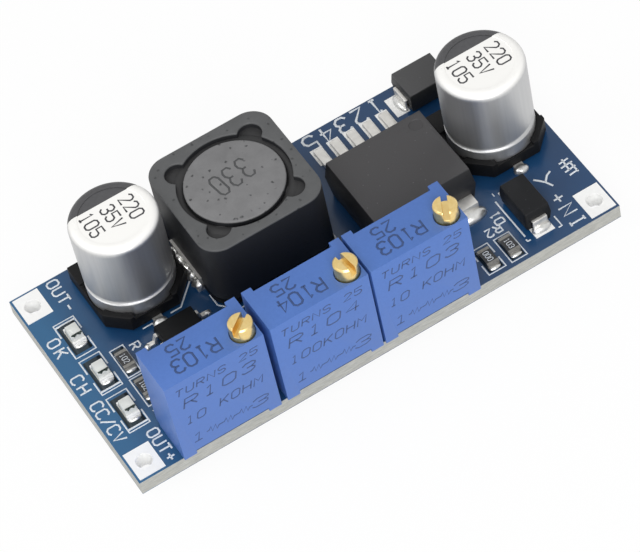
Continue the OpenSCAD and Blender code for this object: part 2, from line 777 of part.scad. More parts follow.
// Brass screw: slotted head, sealed shank, rolled worm and pivot tip
module trimmer_screw(slot_angle) {
    head_bottom_z = trimmer_h - counterbore_depth + run_gap;
    head_top_z = trimmer_h + screw_head_h;
    core_r = worm_r - worm_throw;
    worm_z = rotor_z - worm_l / 2;
    color("gold") on_screw_axis() difference() {
        union() {
            translate([0, 0, head_bottom_z])
                cylinder(d = screw_head_d, h = head_top_z - head_bottom_z - 0.15);
            translate([0, 0, head_top_z - 0.15])
                cylinder(r1 = screw_head_d / 2, r2 = screw_head_d / 2 - 0.15, h = 0.15);
            translate([0, 0, trimmer_ceiling_z])
                cylinder(r = shank_r, h = head_bottom_z - trimmer_ceiling_z + eps);
            translate([0, 0, worm_z + worm_l - eps])
                cylinder(r = core_r, h = trimmer_ceiling_z - worm_z - worm_l + 2 * eps);
            translate([0, 0, worm_z])
                linear_extrude(worm_l, twist = -360 * worm_turns,
                    slices = 10 * worm_turns, $fn = 12)
                    rotate(180 - 180 * worm_turns) translate([worm_throw, 0])
                        circle(worm_r);
            translate([0, 0, trimmer_floor_z - pivot_depth])
                cylinder(r = pivot_r, h = worm_z - trimmer_floor_z + pivot_depth + eps);
        }
        translate([0, 0, seal_z]) rotate_extrude()
            translate([shank_r, 0]) square([0.6, 0.44], center = true);
        translate([0, 0, head_top_z - slot_depth]) rotate([0, 0, slot_angle])
            translate([-2, -slot_w / 2, 0]) cube([4, slot_w, slot_depth + 1]);
    }
}

module trimmer_seal() {
    color("black") on_screw_axis() translate([0, 0, seal_z]) rotate_extrude()
        translate([roof_bore_r - seal_r - 0.01, 0]) circle(seal_r);
}

// Worm wheel: pointed teeth that run in the worm's round thread
function tooth_outline() = [
    for (i = [0 : rotor_teeth - 1], k = [-2, -1, 1, 2])
        let (
            half = abs(k) == 2 ? 0.3 : 0.07,
            r = abs(k) == 2 ? rotor_root_r : rotor_tip_r,
            a = (i + 0.5 + sign(k) * half) * 360 / rotor_teeth
        ) [r * cos(a), r * sin(a)]
];

module trimmer_rotor() {
    hub_r = 1.3;
    hub_front_y = trimmer_wall + run_gap;
    color("ivory") difference() {
        union() {
            on_rotor_axis(screw_inset - rotor_t / 2)
                linear_extrude(rotor_t) polygon(tooth_outline());
            on_rotor_axis(hub_front_y) cylinder(r = hub_r, h = rotor_back_y - hub_front_y);
        }
        on_rotor_axis(0) cylinder(r = post_r + run_gap, h = trimmer_d);
    }
}

// Sprung contact: a washer on the rotor and an arm that rubs on the element
module trimmer_wiper() {
    contact_y = element_y - 0.02;
    color("goldenrod") {
        on_rotor_axis(rotor_back_y) difference() {
            cylinder(r = 1.25, h = wiper_t);
            translate([0, 0, -1]) cylinder(r = post_r + run_gap, h = 3);
        }
        translate([rotor_x, 0, rotor_z]) linear_extrude(0.6, center = true) polygon([
            [-0.9, rotor_back_y], [-0.9, rotor_back_y + wiper_t],
            [-1.2, rotor_back_y + wiper_t],
            [-wiper_reach + 0.3, contact_y], [-wiper_reach, contact_y],
            [-wiper_reach, contact_y - wiper_t], [-wiper_reach + 0.3, contact_y - wiper_t],
            [-1.1, rotor_back_y]
        ]);
    }
}

module trimmer_element() {
    gap = 0.05;
    color("white") translate([trimmer_wall + gap, element_y, trimmer_floor_z])
        cube([trimmer_l - 2 * (trimmer_wall + gap), element_t,
            trimmer_ceiling_z - trimmer_floor_z - gap]);
}

module trimmer_pins() {
    color("silver") for (i = [-1 : 1])
        translate([trimmer_l / 2 + i * pin_pitch, trimmer_d / 2, -board_t - pin_below])
            cylinder(r = pin_r, h = board_t + pin_below + pin_top_z);
}

module trimmer_potting() {
    potting_y = element_y + element_t;
    color("steelblue") translate([trimmer_wall, potting_y, trimmer_floor_z])
        cube([trimmer_l - 2 * trimmer_wall, potting_back_y - potting_y,
            trimmer_ceiling_z - trimmer_floor_z]);
}

module current_trimmer_housing() { at_trimmer(0) trimmer_housing(); }
module current_trimmer_screw() { at_trimmer(0) trimmer_screw(slot_angles[0]); }
module current_trimmer_seal() { at_trimmer(0) trimmer_seal(); }
module current_trimmer_rotor() { at_trimmer(0) trimmer_rotor(); }
module current_trimmer_wiper() { at_trimmer(0) trimmer_wiper(); }
module current_trimmer_element() { at_trimmer(0) trimmer_element(); }
module current_trimmer_pins() { at_trimmer(0) trimmer_pins(); }
module current_trimmer_potting() { at_trimmer(0) trimmer_potting(); }
module charge_trimmer_housing() { at_trimmer(1) trimmer_housing(); }
module charge_trimmer_screw() { at_trimmer(1) trimmer_screw(slot_angles[1]); }
module charge_trimmer_seal() { at_trimmer(1) trimmer_seal(); }
module charge_trimmer_rotor() { at_trimmer(1) trimmer_rotor(); }
module charge_trimmer_wiper() { at_trimmer(1) trimmer_wiper(); }
module charge_trimmer_element() { at_trimmer(1) trimmer_element(); }
module charge_trimmer_pins() { at_trimmer(1) trimmer_pins(); }
module charge_trimmer_potting() { at_trimmer(1) trimmer_potting(); }
module voltage_trimmer_housing() { at_trimmer(2) trimmer_housing(); }
module voltage_trimmer_screw() { at_trimmer(2) trimmer_screw(slot_angles[2]); }
module voltage_trimmer_seal() { at_trimmer(2) trimmer_seal(); }
module voltage_trimmer_rotor() { at_trimmer(2) trimmer_rotor(); }
module voltage_trimmer_wiper() { at_trimmer(2) trimmer_wiper(); }
module voltage_trimmer_element() { at_trimmer(2) trimmer_element(); }
module voltage_trimmer_pins() { at_trimmer(2) trimmer_pins(); }
module voltage_trimmer_potting() { at_trimmer(2) trimmer_potting(); }

board();
wire_pads();
pin_pads();
pin_solder();
output_capacitor_can();
output_capacitor_base();
output_capacitor_leads();
input_capacitor_can();
input_capacitor_base();
input_capacitor_leads();
inductor_shield();
inductor_drum();
inductor_winding();
inductor_base();
inductor_terminals();
regulator_body();
regulator_tab();
regulator_leads();
catch_rectifier_body();
catch_rectifier_leads();
input_rectifier_body();
input_rectifier_leads();
amplifier_body();
amplifier_leads();
lamp_bases();
lamp_lenses();
lamp_terminals();
chip_resistor_bodies();
chip_resistor_ends();
solder_joints();
current_trimmer_housing();
current_trimmer_screw();
current_trimmer_seal();
current_trimmer_rotor();
current_trimmer_wiper();
current_trimmer_element();
current_trimmer_pins();
current_trimmer_potting();
charge_trimmer_housing();
charge_trimmer_screw();
charge_trimmer_seal();
charge_trimmer_rotor();
charge_trimmer_wiper();
charge_trimmer_element();
charge_trimmer_pins();
charge_trimmer_potting();
voltage_trimmer_housing();
voltage_trimmer_screw();
voltage_trimmer_seal();
voltage_trimmer_rotor();
voltage_trimmer_wiper();
voltage_trimmer_element();
voltage_trimmer_pins();
voltage_trimmer_potting();
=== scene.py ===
"""Looks of a step-down converter module: board, print, solder, cans, coil, chips and trimmers."""
import math

import bmesh
import bpy
from mathutils import Matrix, Quaternion, Vector


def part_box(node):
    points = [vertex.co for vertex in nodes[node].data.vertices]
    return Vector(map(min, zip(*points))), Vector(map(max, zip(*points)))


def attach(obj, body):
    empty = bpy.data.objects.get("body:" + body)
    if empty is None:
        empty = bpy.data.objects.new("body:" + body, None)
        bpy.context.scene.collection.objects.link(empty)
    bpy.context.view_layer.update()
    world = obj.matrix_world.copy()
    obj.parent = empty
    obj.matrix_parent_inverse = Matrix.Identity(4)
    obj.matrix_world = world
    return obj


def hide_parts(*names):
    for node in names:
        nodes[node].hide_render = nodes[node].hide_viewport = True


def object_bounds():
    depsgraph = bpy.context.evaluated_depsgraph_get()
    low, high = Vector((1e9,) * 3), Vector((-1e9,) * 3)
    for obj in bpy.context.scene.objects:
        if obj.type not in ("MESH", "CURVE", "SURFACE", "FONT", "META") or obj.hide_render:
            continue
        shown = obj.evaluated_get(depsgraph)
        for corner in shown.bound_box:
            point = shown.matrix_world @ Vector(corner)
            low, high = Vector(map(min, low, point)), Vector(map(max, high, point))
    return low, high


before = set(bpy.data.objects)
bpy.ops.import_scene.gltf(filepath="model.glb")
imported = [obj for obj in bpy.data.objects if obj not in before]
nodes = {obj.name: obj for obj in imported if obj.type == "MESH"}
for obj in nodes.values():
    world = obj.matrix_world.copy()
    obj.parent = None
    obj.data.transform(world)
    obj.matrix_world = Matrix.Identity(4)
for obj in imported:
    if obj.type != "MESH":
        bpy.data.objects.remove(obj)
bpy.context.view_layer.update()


# ---- Camera ----
# A long lens far away, looking down over the trimmers with the output end at the left.
# It leans a little, so that upright edges lean to the left.
MM = 0.001
camera_azimuth = math.radians(-20.04)
camera_elevation = math.radians(52.0)
camera_roll = math.radians(13.76)
camera_distance = 317.9 * MM
camera_aim = Vector((-1.63, -4.95, 5.0)) * MM

camera = bpy.data.objects.new("camera", bpy.data.cameras.new("camera"))
bpy.context.scene.collection.objects.link(camera)
camera.data.sensor_width = 36
camera.data.lens = 210.2
camera.data.clip_start = 10 * MM
looking = Vector((
    -math.sin(camera_azimuth) * math.cos(camera_elevation),
    math.cos(camera_azimuth) * math.cos(camera_elevation),
    -math.sin(camera_elevation),
))
camera.location = camera_aim - camera_distance * looking
camera.rotation_mode = "QUATERNION"
camera.rotation_quaternion = (
    looking.to_track_quat("-Z", "Y") @ Quaternion((0, 0, 1), -camera_roll)
)
bpy.context.scene.camera = camera


# ---- Floor and light ----
# White seamless paper under the pins, a soft box in front of the trimmers, a weak one at
# the left and an even white room. The paper shows white and keeps a faint shadow.
def linear(hex_text):
    """The linear colour of an sRGB hex value."""
    parts = [int(hex_text[i:i + 2], 16) / 255 for i in (0, 2, 4)]
    return [p / 12.92 if p <= 0.04045 else ((p + 0.055) / 1.055) ** 2.4 for p in parts] + [1]


def add_node(tree, kind, values=None, links=None, **settings):
    """Adds a node: settings are its own, values go on its inputs and links into them."""
    made = tree.nodes.new(kind)
    for name, value in settings.items():
        setattr(made, name, value)
    for key, value in (values or {}).items():
        made.inputs[key].default_value = value
    for key, output in (links or {}).items():
        tree.links.new(output, made.inputs[key])
    return made


def select_none():
    for thing in bpy.context.selected_objects:
        thing.select_set(False)


select_none()
floor_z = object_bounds()[0].z
floor_size = 3.0
paper_gap = 0.02 * MM
bpy.ops.mesh.primitive_plane_add(size=floor_size, location=(0, 0, floor_z - paper_gap))
floor = bpy.context.object
floor.name = "floor"

paper = bpy.data.materials.new("seamless_paper")
paper.use_nodes = True
paper_tree = paper.node_tree
paper_tree.nodes.clear()
paper_white = linear("F4F4F4")
# share of the paper that shows plain white; the rest takes light and shadow
paper_glow = 0.93
seen = add_node(paper_tree, "ShaderNodeLightPath")
seen_or_mirrored = add_node(paper_tree, "ShaderNodeMath", operation="MAXIMUM", links={
    0: seen.outputs["Is Camera Ray"], 1: seen.outputs["Is Glossy Ray"]})
seen_anyhow = add_node(paper_tree, "ShaderNodeMath", operation="MAXIMUM", links={
    0: seen_or_mirrored.outputs[0], 1: seen.outputs["Is Transmission Ray"]})
glow_share = add_node(paper_tree, "ShaderNodeMath", {1: paper_glow}, {
    0: seen_anyhow.outputs[0]}, operation="MULTIPLY")
lit_paper = add_node(paper_tree, "ShaderNodeBsdfDiffuse", {"Color": paper_white})
bright_paper = add_node(paper_tree, "ShaderNodeEmission", {"Strength": 1.0})
paper_mix = add_node(paper_tree, "ShaderNodeMixShader", links={
    0: glow_share.outputs[0], 1: lit_paper.outputs[0], 2: bright_paper.outputs[0]})
add_node(paper_tree, "ShaderNodeOutputMaterial", links={0: paper_mix.outputs[0]})
floor.data.materials.append(paper)

room = bpy.data.worlds.new("white_room")
bpy.context.scene.world = room
room.use_nodes = True
room_tree = room.node_tree
room_tree.nodes.clear()
room_ray = add_node(room_tree, "ShaderNodeLightPath")
room_seen = add_node(room_tree, "ShaderNodeMath", operation="MAXIMUM", links={
    0: room_ray.outputs["Is Camera Ray"], 1: room_ray.outputs["Is Glossy Ray"]})
# the room lights the part less than it shows
lighting, showing = 0.66, 1.0
room_strength = add_node(room_tree, "ShaderNodeMapRange", {
    "To Min": lighting, "To Max": showing}, {"Value": room_seen.outputs[0]})
room_light = add_node(room_tree, "ShaderNodeBackground", links={
    "Strength": room_strength.outputs[0]})
add_node(room_tree, "ShaderNodeOutputWorld", links={0: room_light.outputs[0]})


def soft_box(name, azimuth, elevation, distance, size, power):
    """A square lamp that looks at the middle of the board."""
    lamp = bpy.data.objects.new(name, bpy.data.lights.new(name, "AREA"))
    bpy.context.scene.collection.objects.link(lamp)
    lamp.data.size = size
    lamp.data.energy = power
    side, lift = math.radians(azimuth), math.radians(elevation)
    away = Vector((
        math.sin(side) * math.cos(lift), -math.cos(side) * math.cos(lift), math.sin(lift)))
    lamp.location = away * distance
    lamp.rotation_mode = "QUATERNION"
    lamp.rotation_quaternion = away.to_track_quat("Z", "Y")


soft_box("front_box", azimuth=-20, elevation=38, distance=0.6, size=0.35, power=2.3)
soft_box("left_box", azimuth=-105, elevation=50, distance=0.6, size=0.3, power=0.7)

bpy.context.scene.view_settings.view_transform = "Standard"


# ---- Board ----
# Glass-fibre laminate, routed at its edges, with a glossy blue solder mask on both faces.
# The mask is cloudy, and paler over the bare strip at the output end.
def new_material(name, colour, roughness, metallic=0.0, **sockets):
    """A material with one surface shader, and its node tree, shader and object place."""
    made = bpy.data.materials.new(name)
    made.use_nodes = True
    tree = made.node_tree
    shader = tree.nodes["Principled BSDF"]
    shader.inputs["Base Color"].default_value = linear(colour)
    shader.inputs["Roughness"].default_value = roughness
    shader.inputs["Metallic"].default_value = metallic
    for key, value in sockets.items():
        shader.inputs[key.replace("_", " ")].default_value = value
    place = add_node(tree, "ShaderNodeTexCoord").outputs["Object"]
    return made, tree, shader, place


def per_mm(size_mm):
    """Texture scale whose features are size_mm across."""
    return 1 / (size_mm * MM)


def dress(material, *names):
    """Gives CAD nodes a material."""
    for name in names:
        for entry in nodes[name].material_slots:
            entry.material = material


board_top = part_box("board")[1].z
mask_skin = 0.06 * MM

solder_mask, mask_tree, mask_shader, mask_place = new_material(
    "glossy_solder_mask_on_laminate", "18436D", 0.28, Coat_Weight=0.15, Coat_Roughness=0.12)
# cloudy tone of the mask where it runs thicker and thinner, about 6 mm across
mask_cloud = add_node(mask_tree, "ShaderNodeTexNoise", {"Scale": per_mm(6), "Detail": 2},
                      {"Vector": mask_place})
mask_tint = add_node(mask_tree, "ShaderNodeMix", {6: linear("0E2E52"), 7: linear("194873")},
                     {0: mask_cloud.outputs["Fac"]}, data_type="RGBA")
# thinner and paler mask over the bare strip at the output end
mask_xyz = add_node(mask_tree, "ShaderNodeSeparateXYZ", links={"Vector": mask_place})
strip = add_node(mask_tree, "ShaderNodeMapRange", {
    "From Min": -18 * MM, "From Max": -23 * MM}, {"Value": mask_xyz.outputs["X"]})
mask_tint = add_node(mask_tree, "ShaderNodeMix", {7: linear("265D86")}, {
    0: strip.outputs[0], 6: mask_tint.outputs[2]}, data_type="RGBA")
# routed laminate: broken glass strands lie flat, 1.2 mm long and 0.12 mm thick
strand_place = add_node(mask_tree, "ShaderNodeMapping", {
    "Scale": (per_mm(1.2), per_mm(1.2), per_mm(0.12))}, {"Vector": mask_place})
strands = add_node(mask_tree, "ShaderNodeTexNoise", {
    "Scale": 1.0, "Detail": 6, "Roughness": 0.7}, {"Vector": strand_place.outputs[0]})
laminate = add_node(mask_tree, "ShaderNodeMix", {6: linear("666965"), 7: linear("D8D7D0")},
                    {0: strands.outputs["Fac"]}, data_type="RGBA")
# mask colour and gloss within a thin skin of both faces, laminate between them
from_middle = add_node(mask_tree, "ShaderNodeMath", {1: board_top / 2}, {
    0: mask_xyz.outputs["Z"]}, operation="SUBTRACT")
far_from_middle = add_node(mask_tree, "ShaderNodeMath", links={
    0: from_middle.outputs[0]}, operation="ABSOLUTE")
on_face = add_node(mask_tree, "ShaderNodeMath", {1: board_top / 2 - mask_skin}, {
    0: far_from_middle.outputs[0]}, operation="GREATER_THAN")
board_tint = add_node(mask_tree, "ShaderNodeMix", links={
    0: on_face.outputs[0], 6: laminate.outputs[2], 7: mask_tint.outputs[2]}, data_type="RGBA")
mask_tree.links.new(board_tint.outputs[2], mask_shader.inputs["Base Color"])
board_gloss = add_node(mask_tree, "ShaderNodeMapRange", {"To Min": 0.75, "To Max": 0.28}, {
    "Value": on_face.outputs[0]})
mask_tree.links.new(board_gloss.outputs[0], mask_shader.inputs["Roughness"])
rough_edge = add_node(mask_tree, "ShaderNodeMapRange", {"To Min": 0.9, "To Max": 0.03}, {
    "Value": on_face.outputs[0]})
board_bump = add_node(mask_tree, "ShaderNodeBump", {"Distance": 0.05 * MM}, {
    "Height": strands.outputs["Fac"], "Strength": rough_edge.outputs[0]})
mask_tree.links.new(board_bump.outputs[0], mask_shader.inputs["Normal"])
dress(solder_mask, "board")


# ---- Print on the board ----
# White epoxy ink, screen printed: outlines of the parts, the labels of the four wire
# pads and of the three lamps, and the numbers of the regulator's leads.
def mottle(tree, shader, place, grain_mm, dark, light, bump, rough_low, rough_high):
    """Grain in colour, roughness and height, with features grain_mm across."""
    grain = add_node(tree, "ShaderNodeTexNoise", {"Scale": per_mm(grain_mm), "Detail": 4},
                     {"Vector": place}).outputs["Fac"]
    tint = add_node(tree, "ShaderNodeMix", {6: linear(dark), 7: linear(light)}, {0: grain},
                    data_type="RGBA")
    tree.links.new(tint.outputs[2], shader.inputs["Base Color"])
    gloss = add_node(tree, "ShaderNodeMapRange", {"To Min": rough_low, "To Max": rough_high},
                     {"Value": grain})
    tree.links.new(gloss.outputs[0], shader.inputs["Roughness"])
    height = add_node(tree, "ShaderNodeBump", {"Strength": bump, "Distance": 0.02 * MM},
                      {"Height": grain})
    tree.links.new(height.outputs[0], shader.inputs["Normal"])
    return tint


def grained_material(name, grain, colour, roughness, metallic=0.0, **sockets):
    """A material whose grain is what mottle makes of the values in grain."""
    made, tree, shader, place = new_material(name, colour, roughness, metallic, **sockets)
    mottle(tree, shader, place, *grain)
    return made


# the screen's mesh leaves the ink uneven, 0.15 mm across
print_ink = grained_material(
    "white_epoxy_ink", (0.15, "BFC8D2", "EEF1F4", 0.2, 0.5, 0.65), "DDE3EA", 0.55)
ink_t = 0.04 * MM
line_w = 0.17 * MM


def box_mm(node):
    """Both corners of a CAD piece's box, in millimetres."""
    return [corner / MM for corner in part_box(node)]


def make_active(piece):
    select_none()
    piece.select_set(True)
    bpy.context.view_layer.objects.active = piece


def join_pieces(pieces, name):
    """Joins pieces into the first one."""
    make_active(pieces[0])
    for piece in pieces[1:]:
        piece.select_set(True)
    bpy.ops.object.join()
    pieces[0].name = name
    return pieces[0]


def finish_piece(piece, material, slot, body="module", *replaced):
    """Gives a new piece its material and the body that carries it; slot is not used."""
    piece.data.materials.clear()
    piece.data.materials.append(material)
    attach(piece, body)
    if replaced:
        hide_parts(*replaced)


def ink_lines(lines_mm, z, width, closed=False, thickness=ink_t):
    """Flat lines of ink, each through points given in millimetres on a level face."""
    curve = bpy.data.curves.new("line", "CURVE")
    curve.dimensions = "3D"
    curve.bevel_depth = width / 2
    curve.bevel_resolution = 1
    curve.use_fill_caps = True
    for points_mm in lines_mm:
        spline = curve.splines.new("POLY")
        spline.points.add(len(points_mm) - 1)
        for point, (x, y) in zip(spline.points, points_mm):
            point.co = (x * MM, y * MM, 0, 1)
        spline.use_cyclic_u = closed
    line = bpy.data.objects.new("line", curve)
    bpy.context.scene.collection.objects.link(line)
    make_active(line)
    bpy.ops.object.convert(target="MESH")
    line.data.transform(Matrix.Diagonal((1, 1, thickness / width, 1)))
    line.data.transform(Matrix.Translation((0, 0, z)))
    return line


# Single-line characters as a plotter draws them, on a grid 4 wide and 6 high
LETTER_STROKES = {
    "0": [[(1, 0), (3, 0), (4, 1), (4, 5), (3, 6), (1, 6), (0, 5), (0, 1), (1, 0)]],
    "1": [[(1, 5), (2, 6), (2, 0)], [(1, 0), (3, 0)]],
    "2": [[(0, 5), (1, 6), (3, 6), (4, 5), (4, 4), (0, 0), (4, 0)]],
    "3": [[(0, 5), (1, 6), (3, 6), (4, 5), (4, 4), (3, 3), (1.5, 3)],
          [(3, 3), (4, 2), (4, 1), (3, 0), (1, 0), (0, 1)]],
    "4": [[(3, 0), (3, 6), (0, 2), (4, 2)]],
    "5": [[(4, 6), (0, 6), (0, 3.4), (3, 3.4), (4, 2.4), (4, 1), (3, 0), (1, 0), (0, 1)]],
    "C": [[(4, 5), (3, 6), (1, 6), (0, 5), (0, 1), (1, 0), (3, 0), (4, 1)]],
    "D": [[(0, 0), (0, 6), (3, 6), (4, 5), (4, 1), (3, 0), (0, 0)]],
    "H": [[(0, 0), (0, 6)], [(4, 0), (4, 6)], [(0, 3), (4, 3)]],
    "I": [[(1, 0), (3, 0)], [(2, 0), (2, 6)], [(1, 6), (3, 6)]],
    "K": [[(0, 0), (0, 6)], [(4, 6), (0, 2.4)], [(1.5, 3.6), (4, 0)]],
    "M": [[(0, 0), (0, 6), (2, 3), (4, 6), (4, 0)]],
    "N": [[(0, 0), (0, 6), (4, 0), (4, 6)]],
    "O": [[(1, 0), (3, 0), (4, 1), (4, 5), (3, 6), (1, 6), (0, 5), (0, 1), (1, 0)]],
    "R": [[(0, 0), (0, 6), (3, 6), (4, 5), (4, 4), (3, 3), (0, 3)], [(2, 3), (4, 0)]],
    "S": [[(4, 5), (3, 6), (1, 6), (0, 5), (0, 4), (1, 3), (3, 3), (4, 2), (4, 1), (3, 0),
           (1, 0), (0, 1)]],
    "T": [[(0, 6), (4, 6)], [(2, 6), (2, 0)]],
    "U": [[(0, 6), (0, 1), (1, 0), (3, 0), (4, 1), (4, 6)]],
    "V": [[(0, 6), (2, 0), (4, 6)]],
    "+": [[(2, 1), (2, 5)], [(0, 3), (4, 3)]],
    "-": [[(0.5, 3), (3.5, 3)]],
    "/": [[(0, 0), (4, 6)]],
    "w": [[(0, 3), (0.6, 3), (1, 5), (1.6, 1), (2.2, 5), (2.8, 1), (3.2, 3), (4, 3)]],
    " ": [],
}


def lettering(words, centre_mm, z, cap, turn, advance, wide, line, lean=0.0):
    """Inked words, centred on a level face; sizes in millimetres, turn in degrees."""
    cos, sin = math.cos(math.radians(turn)), math.sin(math.radians(turn))
    drawn = []
    for number, letter in enumerate(words):
        start = (number - (len(words) - 1) / 2) * advance - wide / 2
        for stroke in LETTER_STROKES[letter]:
            placed = []
            for u, v in stroke:
                across = start + u / 4 * wide + lean * (v / 6 - 0.5) * cap
                up = (v / 6 - 0.5) * cap
                placed.append((centre_mm[0] + across * cos - up * sin,
                               centre_mm[1] + across * sin + up * cos))
            drawn.append(placed)
    return ink_lines(drawn, z, line * MM)


ink = []


def outline(points_mm, width=line_w, closed=False):
    """Adds one line of ink on the board."""
    ink.append(ink_lines([points_mm], board_top, width, closed))


# brackets round the lamps, open in the middle of each long side, with a bar at the cathode
bracket_x, bracket_w, bracket_l = -21.25, 2.0, 4.25
bracket_ys, bar_sides = (4.9, 0.15, -4.7), (1, -1, -1)
half_opening, bar_inset, bar_w = 0.55, 0.32, line_w * 1.3
left, right = bracket_x - bracket_w / 2, bracket_x + bracket_w / 2
for bracket_y, bar_side in zip(bracket_ys, bar_sides):
    for side in (-1, 1):
        end, stop = bracket_y + side * bracket_l / 2, bracket_y + side * half_opening
        outline([(left, stop), (left, end), (right, end), (right, stop)])
        if side == bar_side:
            outline([(left, end - side * bar_inset), (right, end - side * bar_inset)], bar_w)
# boxes round the first, second and fourth chip resistor
for low, high in (((-19.55, -1.75), (-18.25, 1.65)), ((-19.6, -5.4), (-18.2, -2.0)),
                  ((13.35, -11.35), (14.9, -8.35))):
    outline([low, (high[0], low[1]), high, (low[0], high[1])], closed=True)
# brackets round the third chip resistor
for near, far in ((-10.1, -11.3), (-9.5, -8.25)):
    outline([(11.05, near), (11.05, far), (12.75, far), (12.75, near)])
# input rectifier: the left side and both front corners
outline([(15.75, -4.9), (15.75, -9.7)])
outline([(15.95, -10.25), (15.65, -10.25), (15.65, -10.0)])
outline([(18.95, -9.35), (18.95, -10.6), (18.6, -10.6)])
# output capacitor: the front edge, broken at the lead, and the cut corner
low, high = box_mm("output_capacitor_base")
rim, cut = 0.22, 1.9
middle_x, front_y = (low.x + high.x) / 2, low.y - rim
outline([(middle_x + 1.2, front_y), (high.x - cut, front_y), (high.x + rim, low.y + cut)])
outline([(middle_x - 1.6, front_y), (middle_x - 0.6, front_y)])
# coil: both front corners
low, high = box_mm("inductor_base")
for side_x, step in ((low.x, 1), (high.x, -1)):
    outline([(side_x + step * 0.05, low.y + 2.6), (side_x + step * 0.05, low.y + 1.2),
             (side_x + step * 1.3, low.y - 0.3), (side_x + step * 3.0, low.y - 0.3)])
# a dot at the input rectifier and a small triangle at the second chip resistor
outline([(15.95, -4.15), (16.05, -4.15)], 0.42 * MM)
outline([(-19.5, -6.0), (-18.9, -6.0), (-19.2, -6.6)], closed=True)
# labels, most of which read from the end of the board that they stand at
letter_share, label_line = 0.68, 0.19
for words, centre, turn, cap, advance in (
    ("OUT-", (-20.05, 9.6), -90, 1.05, 1.03), ("OUT+", (-20.6, -9.5), -90, 1.05, 1.0),
    ("OK", (-23.05, 4.75), -90, 1.1, 1.3), ("CH", (-23.25, 0.15), -90, 1.1, 1.2),
    ("CC/CV", (-23.2, -4.7), -90, 1.1, 1.0), ("IN+", (20.3, -9.45), 90, 1.35, 1.55),
    ("IN-", (20.3, 9.45), 90, 1.35, 1.55), ("D1", (14.9, -6.5), 90, 0.85, 0.8),
    ("R2", (13.9, -7.5), 180, 0.85, 0.85), ("R", (-17.4, 0.9), -90, 0.9, 1.0),
):
    ink.append(lettering(
        words, centre, board_top, cap, turn, advance, cap * letter_share, label_line))
# the two signs that mean input, the second one simplified
ink.append(ink_lines([
    [(19.68, -4.9), (20.05, -5.3), (20.4, -5.76), (20.73, -6.49)],
    [(21.38, -4.97), (20.9, -5.2), (20.4, -5.76)]], board_top, 0.2 * MM))
ink.append(ink_lines([
    [(22.4, -4.8), (23.4, -4.7)], [(22.3, -5.3), (23.5, -5.2)], [(22.9, -4.5), (22.8, -5.9)],
    [(22.35, -5.9), (23.5, -5.75)], [(22.5, -6.4), (23.4, -6.3)], [(23.3, -5.2), (23.35, -6.5)],
    ], board_top, 0.19 * MM))
# lead numbers of the regulator, behind its five leads
lead_low, lead_high = box_mm("regulator_leads")
lead_pitch, lead_mid = 1.7, (lead_low.x + lead_high.x) / 2
ink.append(lettering("12345", (lead_mid, 10.68), board_top, cap=1.8, turn=180,
                     advance=lead_pitch, wide=1.1, line=0.26))
# painted shade: thin dark sheets in mask colour between the pads of the lamps and the chip
# resistors, standing in for the shade inside their outlines, cloudy at 0.6 mm
shade_patch_material = grained_material(
    "painted_shade_mask", (0.6, "17242C", "24333D", 0.1, 0.3, 0.5), "1C2A33", 0.4)
shade_patch_t = 0.03 * MM
# one flat patch of painted shade over each lamp and each chip resistor
shade_patch_list = [ink_lines([[(x, y - long / 2), (x, y + long / 2)]], board_top, wide * MM,
                     thickness=shade_patch_t)
           for x, y, long, wide in [(bracket_x, y, 3.6, 1.7) for y in bracket_ys] + [
               (-18.9, -0.05, 3.1, 1.1), (-18.9, -3.7, 3.1, 1.1),
               (11.9, -9.85, 2.6, 1.4), (14.12, -9.85, 2.7, 1.3)]]
shade_patch_piece = join_pieces(shade_patch_list, "painted_shade_patches")
finish_piece(shade_patch_piece, shade_patch_material, "solder_mask")
board_print = join_pieces(ink, "board_print")
finish_piece(board_print, print_ink, "solder_mask")


# ---- Wire pads and solder pads ----
# Copper dipped in molten tin and blown level with hot air, which leaves it bright and
# slightly wavy. The corner pads have a plated hole, the others lie under the solder.
# waves left by the hot air, 0.7 mm across
tin = grained_material(
    "hot_air_levelled_tin", (0.7, "F2F2F0", "FEFEFD", 0.15, 0.3, 0.45), "F6F6F4", 0.4, 0.15)
dress(tin, "wire_pads", "pin_pads")
pad_t = 0.05 * MM


def flat_pad(x, y, length, width):
    """A thin tinned pad on the board, at a place in millimetres."""
    select_none()
    bpy.ops.mesh.primitive_cube_add(
        size=1, location=(x * MM, y * MM, board_top), scale=(length * MM, width * MM, pad_t))
    pad = bpy.context.object
    bpy.ops.object.transform_apply(location=True, rotation=False, scale=True)
    return pad


# under the regulator's leads, then under the straps of both rectifiers
lead_pads = [flat_pad(lead_mid + (number - 2) * lead_pitch, 8.9, 1.2, 2.0)
             for number in range(5)]
lead_pads += [flat_pad(14.6, 9.6, 1.3, 2.4), flat_pad(20.1, 9.6, 1.3, 2.4)]
lead_pads += [flat_pad(17.37, -9.85, 1.9, 1.3), flat_pad(17.37, -4.9, 1.9, 1.3)]
solder_pads = join_pieces(lead_pads, "solder_pads")
finish_piece(solder_pads, tin, "tinned_copper")

